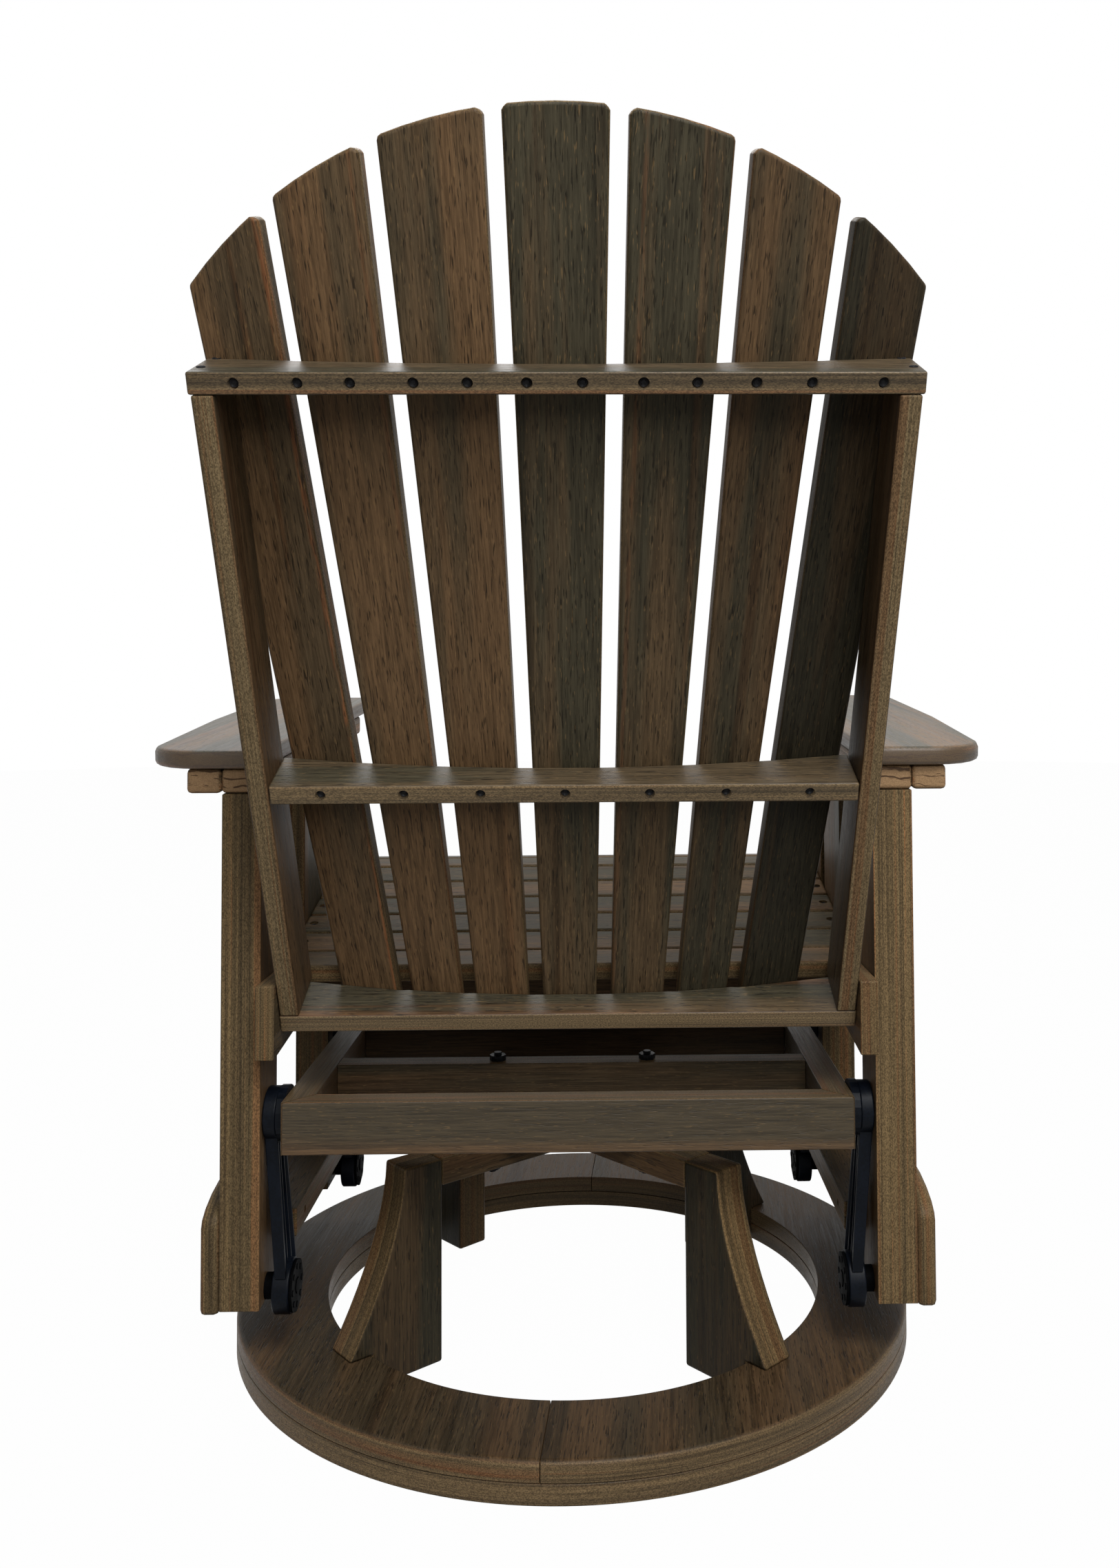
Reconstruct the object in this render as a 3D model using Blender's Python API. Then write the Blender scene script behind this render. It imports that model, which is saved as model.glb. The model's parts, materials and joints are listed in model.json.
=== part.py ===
"""Swivel glider: a fan-back garden armchair that swings on four links over a turning base.

Metres, +Z up, front of the chair towards -Y, the sitter's left towards +X.
The design is drawn round the swivel axis and then set with its origin at the
middle of its footprint on the floor.
"""
import math

import bmesh
import bpy
from mathutils import Matrix, Vector

for old_object in list(bpy.data.objects):
    bpy.data.objects.remove(old_object, do_unlink=True)

# Stock and fits
board = 0.018
post_width = 0.038
rail_width = 0.027
fit_gap = 0.0003
overrun = 0.004

# Counts
ring_steps = 64
bolt_sides = 8
boss_steps = 24
race_steps = 32
ball_count = 12
arc_steps = 5
crown_steps = 4
corner_steps = 2
arch_passes = 3
outer_slat = 3

# Base
ring_radius = 0.356
ring_width = 0.092
ring_seam = 0.001
base_turn = math.radians(-3.4)
beam_spread = math.radians(43.5)
base_leg_tongue = 0.080
base_leg_toe = 0.023
base_leg_head_width = 0.043
base_leg_clearance = 0.005
base_leg_flare_power = 1.7
base_top = 0.203
beam_height = 0.026

# Swivel
swivel_plate_side = 0.200
swivel_plate = 0.004
swivel_bolt_edge = 0.022
race_radius = 0.060
race_half_width = 0.013
race_gap = 0.0016
cage_thickness = 0.0010
ball_radius = 0.006
groove_clearance = 0.0006

# Glider box
box_half_width = 0.270
box_half_length = 0.213
swivel_height = 0.033
box_height = 0.049

# Swing links and pivots
upper_pivot_drop = 0.020
link_length = 0.164
rear_pivot_inset = 0.036
front_pivot_inset = 0.073
hub_radius = 0.026
hub_thickness = 0.0077
boss_width = 0.0125
upper_boss_radius = 0.025
lower_boss_inset = 0.0267
lower_boss_width = 0.0163
lower_boss_radius = 0.0250
arm_thickness = 0.0115
arm_depth_top = 0.030
arm_depth_bottom = 0.044
axle_radius = 0.006
bore_radius = 0.0065
cap_radius = 0.0250
cap_thickness = 0.0040
spacer_radius = 0.012
lag_length = 0.030

# Bolts
bolt_radius = 0.004
bolt_head_radius = 0.0085
bolt_head_height = 0.0055

# Seat frame
link_clearance = 0.0012
rear_leg_reach = 0.026
rear_leg_depth = 0.063
front_leg_reach = 0.045
front_leg_depth = 0.063
leg_tail = 0.013
lower_rail_drop = 0.004
lower_rail_height = 0.1086
lower_rail_round_length = 0.080
lower_rail_round_height = 0.028
stretcher_lap = 0.020
stretcher_rise = 0.043
stretcher_thickness = 0.028
post_gap = 0.024
post_depth = 0.098
post_rise = 0.025

# Seat
stringer_tail = 0.022
stringer_rise = 0.062
stringer_depth = 0.052
stringer_step = 0.017
stringer_bottom_slope = 0.10
seat_back_inset = 0.065
seat_slat_width = 0.044
seat_slat_gap = 0.004
seat_web_low = 0.003
seat_web_high = 0.009
seat_cleat_inset = 0.012
seat_cleat_depth = 0.040
seat_cleat_lap = 0.003
seat_rear_tilt = math.radians(7.6)
seat_tilt = math.radians(13.4)
seat_roll_turn = math.radians(9.0)
seat_straight_slats = 5
seat_roll_slats = 4

# Back, drawn on a plane that leans from the bottom rail's back top edge
back_lean = 0.41
back_foot_reach = 0.005
back_foot_drop = 0.015
upright_depth = 0.061
upright_clearance = 0.0011
upright_spread = 0.0134
middle_rail_height = 0.243
upper_rail_height = 0.602
upper_rail_lap = 0.002
upper_rail_front_flare = 0.003
rail_depth_low = 0.032
rail_depth_high = 0.041
rail_sweep = 0.030
slat_drop = 0.022
slat_gap = 0.0148
fan_inset = 0.040
fan_spread = 0.0749
fan_high_rise = 0.056
fan_low_shares = (0.1437, 0.4260, 0.6960, 1.0)
fan_high_shares = (0.1500, 0.4500, 0.7300, 1.0)
arch_rise = 0.195
arch_radius = 0.397
slat_corner_radius = 0.005

# Arms
arm_back_reach = 0.010
arm_rise = 0.236
arm_slope = 0.0875
arm_front = -0.360
arm_lap = 0.004
arm_back_overhang = 0.072
arm_middle_overhang = 0.094
arm_front_overhang = 0.102
arm_back_round = 0.055
arm_front_round = 0.045
under_rail_height = 0.024
under_rail_width = 0.072
under_rail_front = -0.290

# Values that follow: base and box
ring_hole_radius = ring_radius - ring_width
ring_top = 2 * board + fit_gap
base_leg_inner = ring_hole_radius - base_leg_tongue
base_leg_head = base_leg_inner + base_leg_head_width
base_leg_foot = ring_hole_radius + base_leg_toe
swivel_bolt_offset = swivel_plate_side / 2 - swivel_bolt_edge
box_bottom = base_top + swivel_height
box_top = box_bottom + box_height
cross_rail_offset = swivel_bolt_offset

# Values that follow: pivots and legs
upper_pivot_height = box_top - upper_pivot_drop
lower_pivot_height = upper_pivot_height - link_length
rear_pivot = box_half_length - rear_pivot_inset
front_pivot = front_pivot_inset - box_half_length
hub_inner = box_half_width + fit_gap
upper_boss_inner = hub_inner + hub_thickness + fit_gap
upper_boss_outer = upper_boss_inner + boss_width
leg_inner = upper_boss_outer + link_clearance
leg_outer = leg_inner + post_width
lower_boss_inner = leg_inner - lower_boss_inset
lower_boss_outer = lower_boss_inner + lower_boss_width
rear_leg_back = rear_pivot + rear_leg_reach
front_leg_back = front_pivot + front_leg_reach
leg_bottom = lower_pivot_height - leg_tail
lower_rail_bottom = leg_bottom - lower_rail_drop
stretcher_inner = leg_inner - stretcher_lap
stretcher_bottom = leg_bottom + stretcher_rise

# Values that follow: seat, back and arms
stringer_outer = leg_inner - fit_gap
stringer_inner = stringer_outer - board
stringer_back = rear_leg_back + stringer_tail
stringer_back_bottom = upper_pivot_height + stringer_rise
seat_back = rear_leg_back - seat_back_inset
seat_back_height = stringer_back_bottom + stringer_depth
stringer_back_top = seat_back_height + stringer_step
post_bottom = stringer_back_bottom + post_rise
post_back = front_leg_back + post_gap + post_depth
seat_pitch = seat_slat_width + seat_slat_gap
seat_slat_half_length = leg_inner - fit_gap
back_foot = rear_leg_back + back_foot_reach
back_foot_height = seat_back_height - back_foot_drop
upright_foot_half_width = stringer_inner - upright_clearance
upright_head_half_width = upright_foot_half_width + upright_spread
upper_rail_half_width = upright_head_half_width + upper_rail_lap
fan_half_width_low = upright_foot_half_width - fan_inset
fan_half_width_high = fan_half_width_low + fan_spread
fan_high_height = upper_rail_height + fan_high_rise
arch_top = upper_rail_height + arch_rise
arm_back = rear_leg_back + arm_back_reach
arm_back_height = seat_back_height + arm_rise
arm_inner = leg_inner - arm_lap
arm_outer_back = leg_outer + arm_back_overhang
arm_outer_middle = leg_outer + arm_middle_overhang
arm_outer_front = leg_outer + arm_front_overhang
under_arm_drop = board * math.hypot(1, arm_slope)

# Values that follow: counts and fits
weld_distance = fit_gap / 10
slat_numbers = range(-outer_slat, outer_slat + 1)

sides = {"left": 1, "right": -1}
ends = {"rear": rear_pivot, "front": front_pivot}

# Colours in linear values: red, green, blue, roughness, metallic
finishes = {
    "walnut": (0.060, 0.044, 0.030, 0.62, 0.0),
    "moss": (0.052, 0.046, 0.032, 0.62, 0.0),
    "steel": (0.030, 0.031, 0.034, 0.40, 1.0),
    "nylon": (0.016, 0.020, 0.028, 0.38, 0.0),
    "bronze": (0.280, 0.180, 0.080, 0.35, 1.0),
}


# Building helpers
def material_for(name, finish):
    """Give each piece a material of its own."""
    red, green, blue, roughness, metallic = finishes[finish]
    made = bpy.data.materials.new(name)
    made.use_nodes = True
    shader = made.node_tree.nodes["Principled BSDF"]
    shader.inputs["Base Color"].default_value = (red, green, blue, 1.0)
    shader.inputs["Roughness"].default_value = roughness
    shader.inputs["Metallic"].default_value = metallic
    return made


def empty_at(name, place, parent=None):
    """Add an empty that carries one body."""
    holder = bpy.data.objects.new(name, None)
    bpy.context.collection.objects.link(holder)
    holder.parent = parent
    holder.location = place if parent is None else Vector(place) - axis_of[parent.name]
    axis_of[name] = Vector(place)
    return holder


def node(name, shape, finish, body, smooth=False):
    """Turn a bmesh in chair coordinates into a named piece of one body."""
    bmesh.ops.recalc_face_normals(shape, faces=shape.faces)
    bmesh.ops.translate(shape, verts=shape.verts, vec=-axis_of[body.name])
    mesh = bpy.data.meshes.new(name)
    shape.to_mesh(mesh)
    shape.free()
    if smooth:
        mesh.shade_smooth()
        mesh.set_sharp_from_angle(angle=math.radians(35))
    piece = bpy.data.objects.new(name, mesh)
    bpy.context.collection.objects.link(piece)
    piece.parent = body
    mesh.materials.append(material_for(name, finish))
    return piece


def cutter(name, shape, body):
    """Make a hidden tool for Boolean cuts."""
    tool = node(name, shape, "steel", body)
    tool.hide_render = True
    tool.display_type = "WIRE"
    return tool


def combine(piece, tool, operation="DIFFERENCE"):
    """Cut a piece with a tool, or join the two."""
    step = piece.modifiers.new(operation.title(), "BOOLEAN")
    step.operation = operation
    step.object = tool


def add_prism(shape, outline, start, along):
    """Add a closed outline of points, pushed along a vector."""
    base = [shape.verts.new(Vector(point) + start) for point in outline]
    face = shape.faces.new(base)
    grown = bmesh.ops.extrude_face_region(shape, geom=[face])["geom"]
    moved = [part for part in grown if isinstance(part, bmesh.types.BMVert)]
    bmesh.ops.translate(shape, verts=moved, vec=along)


def prism(outline, along, start=Vector((0, 0, 0))):
    shape = bmesh.new()
    add_prism(shape, outline, start, along)
    return shape


def upright_prism(outline, low, high):
    """A plan outline of (x, y) points between two heights."""
    return prism([(x, y, low) for x, y in outline], Vector((0, 0, high - low)))


def side_prism(outline, inner, outer, side):
    """A side outline of (y, z) points between two distances from the middle."""
    return prism([(side * inner, y, z) for y, z in outline], Vector((side * (outer - inner), 0, 0)))


def add_turned(shape, profile, place, axis, steps):
    """Add a turned solid from (distance along the axis, radius) pairs."""
    frame = Matrix.Translation(place) @ axis.to_track_quat("Z", "Y").to_matrix().to_4x4()
    made = bmesh.new()
    chain = [made.verts.new((radius, 0, height)) for height, radius in profile]
    edges = [made.edges.new(pair) for pair in zip(chain, chain[1:])]
    bmesh.ops.spin(made, geom=chain + edges, cent=(0, 0, 0), axis=(0, 0, 1),
                   angle=math.tau, steps=steps, use_merge=True)
    bmesh.ops.remove_doubles(made, verts=made.verts, dist=weld_distance)
    bmesh.ops.transform(made, matrix=frame, verts=made.verts)
    bmesh.ops.recalc_face_normals(made, faces=made.faces)
    loose = bpy.data.meshes.new("turned")
    made.to_mesh(loose)
    made.free()
    shape.from_mesh(loose)
    bpy.data.meshes.remove(loose)


def turned(profile, place, axis, steps):
    shape = bmesh.new()
    add_turned(shape, profile, place, axis, steps)
    return shape


def rounded(corners, steps=arc_steps):
    """Fillet an outline: each corner is (x, y, radius)."""
    points = []
    count = len(corners)
    for index, (x, y, radius) in enumerate(corners):
        here = Vector((x, y))
        if not radius:
            points.append(here)
            continue
        back = (Vector(corners[index - 1][:2]) - here).normalized()
        ahead = (Vector(corners[(index + 1) % count][:2]) - here).normalized()
        half = back.angle(ahead) / 2
        centre = here + (back + ahead).normalized() * radius / math.sin(half)
        start = here + back * radius / math.tan(half) - centre
        sweep = math.pi - 2 * half
        if back.x * ahead.y - back.y * ahead.x > 0:
            sweep = -sweep
        for step in range(steps + 1):
            points.append(centre + Matrix.Rotation(sweep * step / steps, 2) @ start)
    return points


def turned_set(profile, spots, steps):
    """Equal turned solids at several (place, direction) pairs, as one tool shape."""
    shape = bmesh.new()
    for place, direction in spots:
        add_turned(shape, profile, place, direction, steps)
    return shape


def stud_profile(grip):
    """A stud through a plate: head, shank over the grip and nut, from the head's face."""
    nut = grip + bolt_head_height
    end = nut + bolt_head_height / 2
    return [(-bolt_head_height, 0), (-bolt_head_height, bolt_head_radius), (0, bolt_head_radius),
            (0, bolt_radius), (grip, bolt_radius), (grip, bolt_head_radius),
            (nut, bolt_head_radius), (nut, bolt_radius), (end, bolt_radius), (end, 0)]


def shank_hole(start, end):
    """The clearance of a bolt's shank between two distances along it."""
    slim = bolt_radius + fit_gap
    return [(start, 0), (start, slim), (end, slim), (end, 0)]


# Bodies, each carried by an empty on its joint's axis
axis_of = {}
stand = empty_at("stand", (0, 0, 0))
base = empty_at("base", (0, 0, 0), stand)
box = empty_at("glider_box", (0, 0, box_bottom), stand)
links = {}
for end_name, pivot in ends.items():
    for side_name, side in sides.items():
        place = (side * upper_boss_inner, pivot, upper_pivot_height)
        links[end_name, side_name] = empty_at(f"{end_name}_{side_name}_link", place, box)
seat = empty_at("seat", (lower_boss_inner, rear_pivot, lower_pivot_height), links["rear", "left"])


# Base
def beam_angle(end_name, side_name):
    """Direction of a base leg, counted from +X."""
    spread = beam_spread if side_name == "left" else math.pi - beam_spread
    return base_turn + (spread if end_name == "rear" else -spread)


def radial_prism(outline, angle, width):
    """An outline of (radius, z) points, as a board that stands on a line from the axis."""
    shape = prism([(radius, -width / 2, z) for radius, z in outline], Vector((0, width, 0)))
    bmesh.ops.rotate(shape, verts=shape.verts, cent=(0, 0, 0), matrix=Matrix.Rotation(angle, 3, "Z"))
    return shape


def ring_outline(radius, start, stop, steps):
    turns = [start + (stop - start) * step / steps for step in range(steps + 1)]
    return [(radius * math.cos(turn), radius * math.sin(turn)) for turn in turns]


def make_ring():
    """The lower layer is one ring; the upper layer is two half rings."""
    section = [(0, ring_hole_radius), (0, ring_radius), (board, ring_radius), (board, ring_hole_radius),
               (0, ring_hole_radius)]
    shape = turned(section, Vector((0, 0, 0)), Vector((0, 0, 1)), ring_steps)
    node("ring_lower_layer", shape, "walnut", base, smooth=True)
    outer_lean = math.asin(ring_seam / 2 / ring_radius)
    inner_lean = math.asin(ring_seam / 2 / ring_hole_radius)
    quarter = math.pi / 2
    steps = ring_steps // 2
    for side_name, middle in (("left", base_turn), ("right", base_turn + math.pi)):
        first = middle - quarter
        last = middle + quarter
        rim = ring_outline(ring_radius, first + outer_lean, last - outer_lean, steps)
        hole = ring_outline(ring_hole_radius, last - inner_lean, first + inner_lean, steps)
        shape = upright_prism(rim + hole, board + fit_gap, ring_top)
        node(f"ring_upper_{side_name}", shape, "walnut", base, smooth=True)


def base_leg_outline():
    wall = ring_hole_radius * math.cos(math.pi / ring_steps) - fit_gap
    notch = math.sqrt(wall ** 2 - (post_width / 2) ** 2)
    seat_height = ring_top + fit_gap
    flare = []
    for step in range(2 * arc_steps + 1):
        share = step / (2 * arc_steps)
        reach = (1 - share) ** base_leg_flare_power
        radius = base_leg_head + (base_leg_foot - base_leg_head) * reach
        flare.append((radius, seat_height + (base_top - seat_height) * share))
    start = [(base_leg_inner, base_leg_clearance), (notch, base_leg_clearance), (notch, seat_height)]
    return start + flare + [(base_leg_inner, base_top)]


def make_base():
    make_ring()
    outline = base_leg_outline()
    for end_name in ends:
        for side_name in sides:
            shape = radial_prism(outline, beam_angle(end_name, side_name), post_width)
            node(f"base_leg_{end_name}_{side_name}", shape, "walnut", base)
    make_beams()


def make_beams():
    """Two beams, halved into each other, and the swivel plate whose studs hold them."""
    reach = base_leg_inner - fit_gap
    low = base_top - beam_height
    middle = base_top - beam_height / 2
    whole = [(-reach, low), (reach, low), (reach, base_top), (-reach, base_top)]
    upper_half = [(-ring_radius, middle - fit_gap), (ring_radius, middle - fit_gap),
                  (ring_radius, base_top + overrun), (-ring_radius, base_top + overrun)]
    lower_half = [(-ring_radius, low - overrun), (ring_radius, low - overrun),
                  (ring_radius, middle + fit_gap), (-ring_radius, middle + fit_gap)]
    wide = post_width + 2 * fit_gap
    left_line = beam_angle("rear", "left")
    right_line = beam_angle("rear", "right")
    under = node("cross_beam_lower", radial_prism(whole, left_line, post_width), "walnut", base)
    over = node("cross_beam_upper", radial_prism(whole, right_line, post_width), "walnut", base)
    combine(under, cutter("lap_of_lower_beam", radial_prism(upper_half, right_line, wide), base))
    combine(over, cutter("lap_of_upper_beam", radial_prism(lower_half, left_line, wide), base))
    plate = make_swivel_plate("swivel_lower_plate", base_top + fit_gap, 1, base_turn, base)
    radius = swivel_bolt_offset * math.sqrt(2)
    spots = []
    for line in (left_line, left_line + math.pi, right_line, right_line + math.pi):
        place = Vector((radius * math.cos(line), radius * math.sin(line), base_top + swivel_plate))
        spots.append((place, Vector((0, 0, -1))))
    grip = beam_height + swivel_plate + fit_gap
    studs = cutter("base_studs", turned_set(stud_profile(grip), spots, bolt_sides), base)
    combine(plate, studs, "UNION")
    hole = shank_hole(0, grip + overrun)
    holes = cutter("base_stud_holes", turned_set(hole, spots, bolt_sides), base)
    combine(under, holes)
    combine(over, holes)


# Swivel
def race_profile(outside, toward):
    """One race: heights from the plate's outer face, with a groove for the balls."""
    middle = (box_bottom - base_top) / 2 - fit_gap
    groove = ball_radius + groove_clearance
    face = middle - race_gap / 2
    dip = math.asin(race_gap / 2 / groove)
    inner = race_radius - race_half_width
    outer = race_radius + race_half_width
    points = [(0, inner), (0, outer), (face, outer)]
    for step in range(arc_steps + 1):
        turn = dip + (math.pi - 2 * dip) * step / arc_steps
        points.append((middle - groove * math.sin(turn), race_radius + groove * math.cos(turn)))
    points += [(face, inner), (0, inner)]
    return [(outside + toward * height, radius) for height, radius in points]


def make_swivel_plate(name, outside, toward, turn, body):
    half = swivel_plate_side / 2
    corners = [(-half, -half, bolt_head_radius), (half, -half, bolt_head_radius),
               (half, half, bolt_head_radius), (-half, half, bolt_head_radius)]
    outline = [Matrix.Rotation(turn, 2) @ point for point in rounded(corners, corner_steps)]
    low = min(outside, outside + toward * swivel_plate)
    piece = node(name, upright_prism(outline, low, low + swivel_plate), "steel", body)
    up = Vector((0, 0, 1))
    race = turned(race_profile(outside, toward), Vector((0, 0, 0)), up, race_steps)
    combine(piece, cutter(name + "_race", race, body), "UNION")
    return piece


def make_ball_cage():
    """A thin retainer ring that runs between the races and holds the balls."""
    height = (base_top + box_bottom) / 2
    inner = race_radius - race_half_width
    outer = race_radius + race_half_width
    low = -cage_thickness / 2
    high = cage_thickness / 2
    section = [(low, inner), (low, outer), (high, outer), (high, inner), (low, inner)]
    ring = turned(section, Vector((0, 0, height)), Vector((0, 0, 1)), race_steps)
    cage = node("swivel_ball_cage", ring, "bronze", base, smooth=True)
    balls = bmesh.new()
    for index in range(ball_count):
        turn = math.tau * index / ball_count
        place = Vector((race_radius * math.cos(turn), race_radius * math.sin(turn), height))
        bmesh.ops.create_icosphere(balls, subdivisions=1, radius=ball_radius,
                                   matrix=Matrix.Translation(place))
    combine(cage, cutter("swivel_balls", balls, base), "UNION")


# Glider box
def make_box():
    inner_width = box_half_width - rail_width
    inner_length = box_half_length - rail_width
    side_rails = {}
    for side_name, side in sides.items():
        outline = [(side * box_half_width, box_half_length - fit_gap),
                   (side * inner_width, inner_length - fit_gap),
                   (side * inner_width, fit_gap - inner_length),
                   (side * box_half_width, fit_gap - box_half_length)]
        shape = upright_prism(outline, box_bottom, box_top)
        side_rails[side_name] = node(f"box_side_rail_{side_name}", shape, "walnut", box)
    for end_name, pivot in ends.items():
        way = math.copysign(1, pivot)
        outline = [(box_half_width - fit_gap, way * box_half_length),
                   (inner_width - fit_gap, way * inner_length),
                   (fit_gap - inner_width, way * inner_length),
                   (fit_gap - box_half_width, way * box_half_length)]
        node(f"box_{end_name}_rail", upright_prism(outline, box_bottom, box_top), "walnut", box)
    reach = inner_width - fit_gap
    cross_rails = []
    for end_name, pivot in ends.items():
        middle = math.copysign(cross_rail_offset, pivot)
        near, far = middle - rail_width / 2, middle + rail_width / 2
        outline = [(-reach, near), (reach, near), (reach, far), (-reach, far)]
        shape = upright_prism(outline, box_bottom, box_top)
        cross_rails.append(node(f"box_{end_name}_cross_rail", shape, "walnut", box))
    plate = make_swivel_plate("swivel_upper_plate", box_bottom - fit_gap, -1, 0.0, box)
    spots = []
    for x in (-swivel_bolt_offset, swivel_bolt_offset):
        for y in (-cross_rail_offset, cross_rail_offset):
            place = Vector((x, y, box_bottom - fit_gap - swivel_plate))
            spots.append((place, Vector((0, 0, 1))))
    grip = box_height + swivel_plate + 2 * fit_gap
    studs = cutter("box_studs", turned_set(stud_profile(grip), spots, bolt_sides), box)
    combine(plate, studs, "UNION")
    holes = cutter("box_stud_holes", turned_set(shank_hole(0, grip + overrun), spots, bolt_sides), box)
    for piece in cross_rails:
        combine(piece, holes)
    make_hubs(side_rails)


def make_hubs(side_rails):
    """Disc, stub axle and through bolt of each upper pivot, as one turned piece."""
    nut = -rail_width - 2 * fit_gap
    end = hub_thickness + boss_width
    profile = [(nut - bolt_head_height, 0), (nut - bolt_head_height, bolt_head_radius),
               (nut, bolt_head_radius), (nut, bolt_radius), (0, bolt_radius), (0, hub_radius),
               (hub_thickness, hub_radius), (hub_thickness, axle_radius), (end, axle_radius), (end, 0)]
    for side_name, side in sides.items():
        spots = []
        for end_name, pivot in ends.items():
            place = Vector((side * hub_inner, pivot, upper_pivot_height))
            across = Vector((side, 0, 0))
            hub = turned(profile, place, across, boss_steps)
            node(f"upper_pivot_{end_name}_{side_name}", hub, "nylon", box, smooth=True)
            spots.append((place, across))
        hole = shank_hole(nut - overrun, overrun)
        holes = cutter(f"upper_pivot_holes_{side_name}", turned_set(hole, spots, boss_steps), box)
        combine(side_rails[side_name], holes)


# Swing links
def link_arm(side, pivot):
    """The slanted bar between the two bosses."""
    low_inner = (lower_boss_inner + lower_boss_outer - arm_thickness) / 2
    high_inner = upper_boss_outer - arm_thickness
    low = lower_pivot_height + lower_boss_radius / 2
    high = upper_pivot_height - upper_boss_radius / 2
    rows = []
    for inner, depth, height in ((low_inner, arm_depth_bottom, low), (high_inner, arm_depth_top, high)):
        outer = inner + arm_thickness
        rows.append([Vector((side * inner, pivot - depth / 2, height)),
                     Vector((side * outer, pivot - depth / 2, height)),
                     Vector((side * outer, pivot + depth / 2, height)),
                     Vector((side * inner, pivot + depth / 2, height))])
    shape = bmesh.new()
    for row in rows:
        shape.faces.new([shape.verts.new(point) for point in row])
    bmesh.ops.bridge_loops(shape, edges=shape.edges[:])
    return shape


def boss_tool(name, width, radius, place, across, body):
    """A round boss, as a tool that is joined to the arm."""
    profile = [(0, 0), (0, radius), (width, radius), (width, 0)]
    return cutter(name, turned(profile, place, across, boss_steps), body)


def make_link(end_name, side_name):
    side = sides[side_name]
    pivot = ends[end_name]
    body = links[end_name, side_name]
    name = f"swing_link_{end_name}_{side_name}"
    across = Vector((side, 0, 0))
    upper = Vector((side * upper_boss_inner, pivot, upper_pivot_height))
    lower = Vector((side * lower_boss_inner, pivot, lower_pivot_height))
    link = node(name, link_arm(side, pivot), "nylon", body, smooth=True)
    for boss, width, radius, place in (("upper", boss_width, upper_boss_radius, upper),
                                       ("lower", lower_boss_width, lower_boss_radius, lower)):
        combine(link, boss_tool(f"{name}_{boss}_boss", width, radius, place, across, body), "UNION")
    bore = [(-overrun, 0), (-overrun, bore_radius), (lower_boss_width + overrun, bore_radius),
            (lower_boss_width + overrun, 0)]
    spots = [(upper, across), (lower, across)]
    combine(link, cutter(name + "_bores", turned_set(bore, spots, boss_steps), body))


def make_lower_pivot(end_name, side_name, leg):
    """Cap, axle, spacer and lag shank of a lower pivot, as one turned piece."""
    side = sides[side_name]
    cap = -cap_thickness
    clear = -fit_gap
    spacer = lower_boss_width + fit_gap
    wood = leg_inner - fit_gap - lower_boss_inner
    tip = wood + lag_length
    profile = [(cap, 0), (cap, cap_radius), (clear, cap_radius), (clear, axle_radius),
               (spacer, axle_radius), (spacer, spacer_radius), (wood, spacer_radius),
               (wood, bolt_radius), (tip, bolt_radius), (tip, 0)]
    place = Vector((side * lower_boss_inner, ends[end_name], lower_pivot_height))
    across = Vector((side, 0, 0))
    bolt = turned(profile, place, across, boss_steps)
    node(f"lower_pivot_{end_name}_{side_name}", bolt, "nylon", seat, smooth=True)
    hole = turned(shank_hole(spacer, tip + fit_gap), place, across, boss_steps)
    combine(leg, cutter(f"lower_pivot_hole_{end_name}_{side_name}", hole, seat))


# Side frames
def arm_top(y):
    return arm_back_height + (arm_back - y) * arm_slope


def under_rail_top(y):
    return arm_top(y) - under_arm_drop - fit_gap


def leg_top(y):
    return under_rail_top(y) - under_rail_height - fit_gap


def post_outline(back, depth, bottom):
    """A side outline whose top follows the slope of the arm."""
    front = back - depth
    return [(back, bottom), (back, leg_top(back)), (front, leg_top(front)), (front, bottom)]


def lower_rail_outline():
    back = rear_leg_back
    front = front_leg_back - front_leg_depth
    top = lower_rail_bottom + lower_rail_height
    crown = []
    for step in range(arc_steps + 1):
        turn = math.pi / 2 * step / arc_steps
        drop = lower_rail_round_height * (1 - math.sin(turn))
        crown.append((lower_rail_round_length * (1 - math.cos(turn)), top - drop))
    rear = [(back - inset, z) for inset, z in crown]
    nose = [(front + inset, z) for inset, z in reversed(crown)]
    return [(back, lower_rail_bottom)] + rear + nose + [(front, lower_rail_bottom)]


def seat_path():
    """Corner points under the seat slats, from the back to the rolled front, and each slat's tilt."""
    tilts = [seat_rear_tilt] + [seat_tilt] * seat_straight_slats
    for step in range(seat_roll_slats):
        tilts.append(seat_tilt - seat_roll_turn * (step + 1))
    points = [Vector((seat_back, seat_back_height))]
    for tilt in tilts:
        points.append(points[-1] + Vector((-math.cos(tilt), math.sin(tilt))) * seat_pitch)
    return points, tilts


def stringer_outline():
    path, tilts = seat_path()
    drop = Vector((0, -fit_gap))
    top = [tuple(point + drop) for point in path]
    step_back = seat_back + fit_gap
    nose = path[-1]
    bottom = stringer_back_bottom + (stringer_back - nose.x) * stringer_bottom_slope
    rear = [(stringer_back, stringer_back_bottom), (stringer_back, stringer_back_top),
            (step_back, stringer_back_top), (step_back, seat_back_height - fit_gap)]
    return rear + top[1:] + [(nose.x, bottom)]


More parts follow.
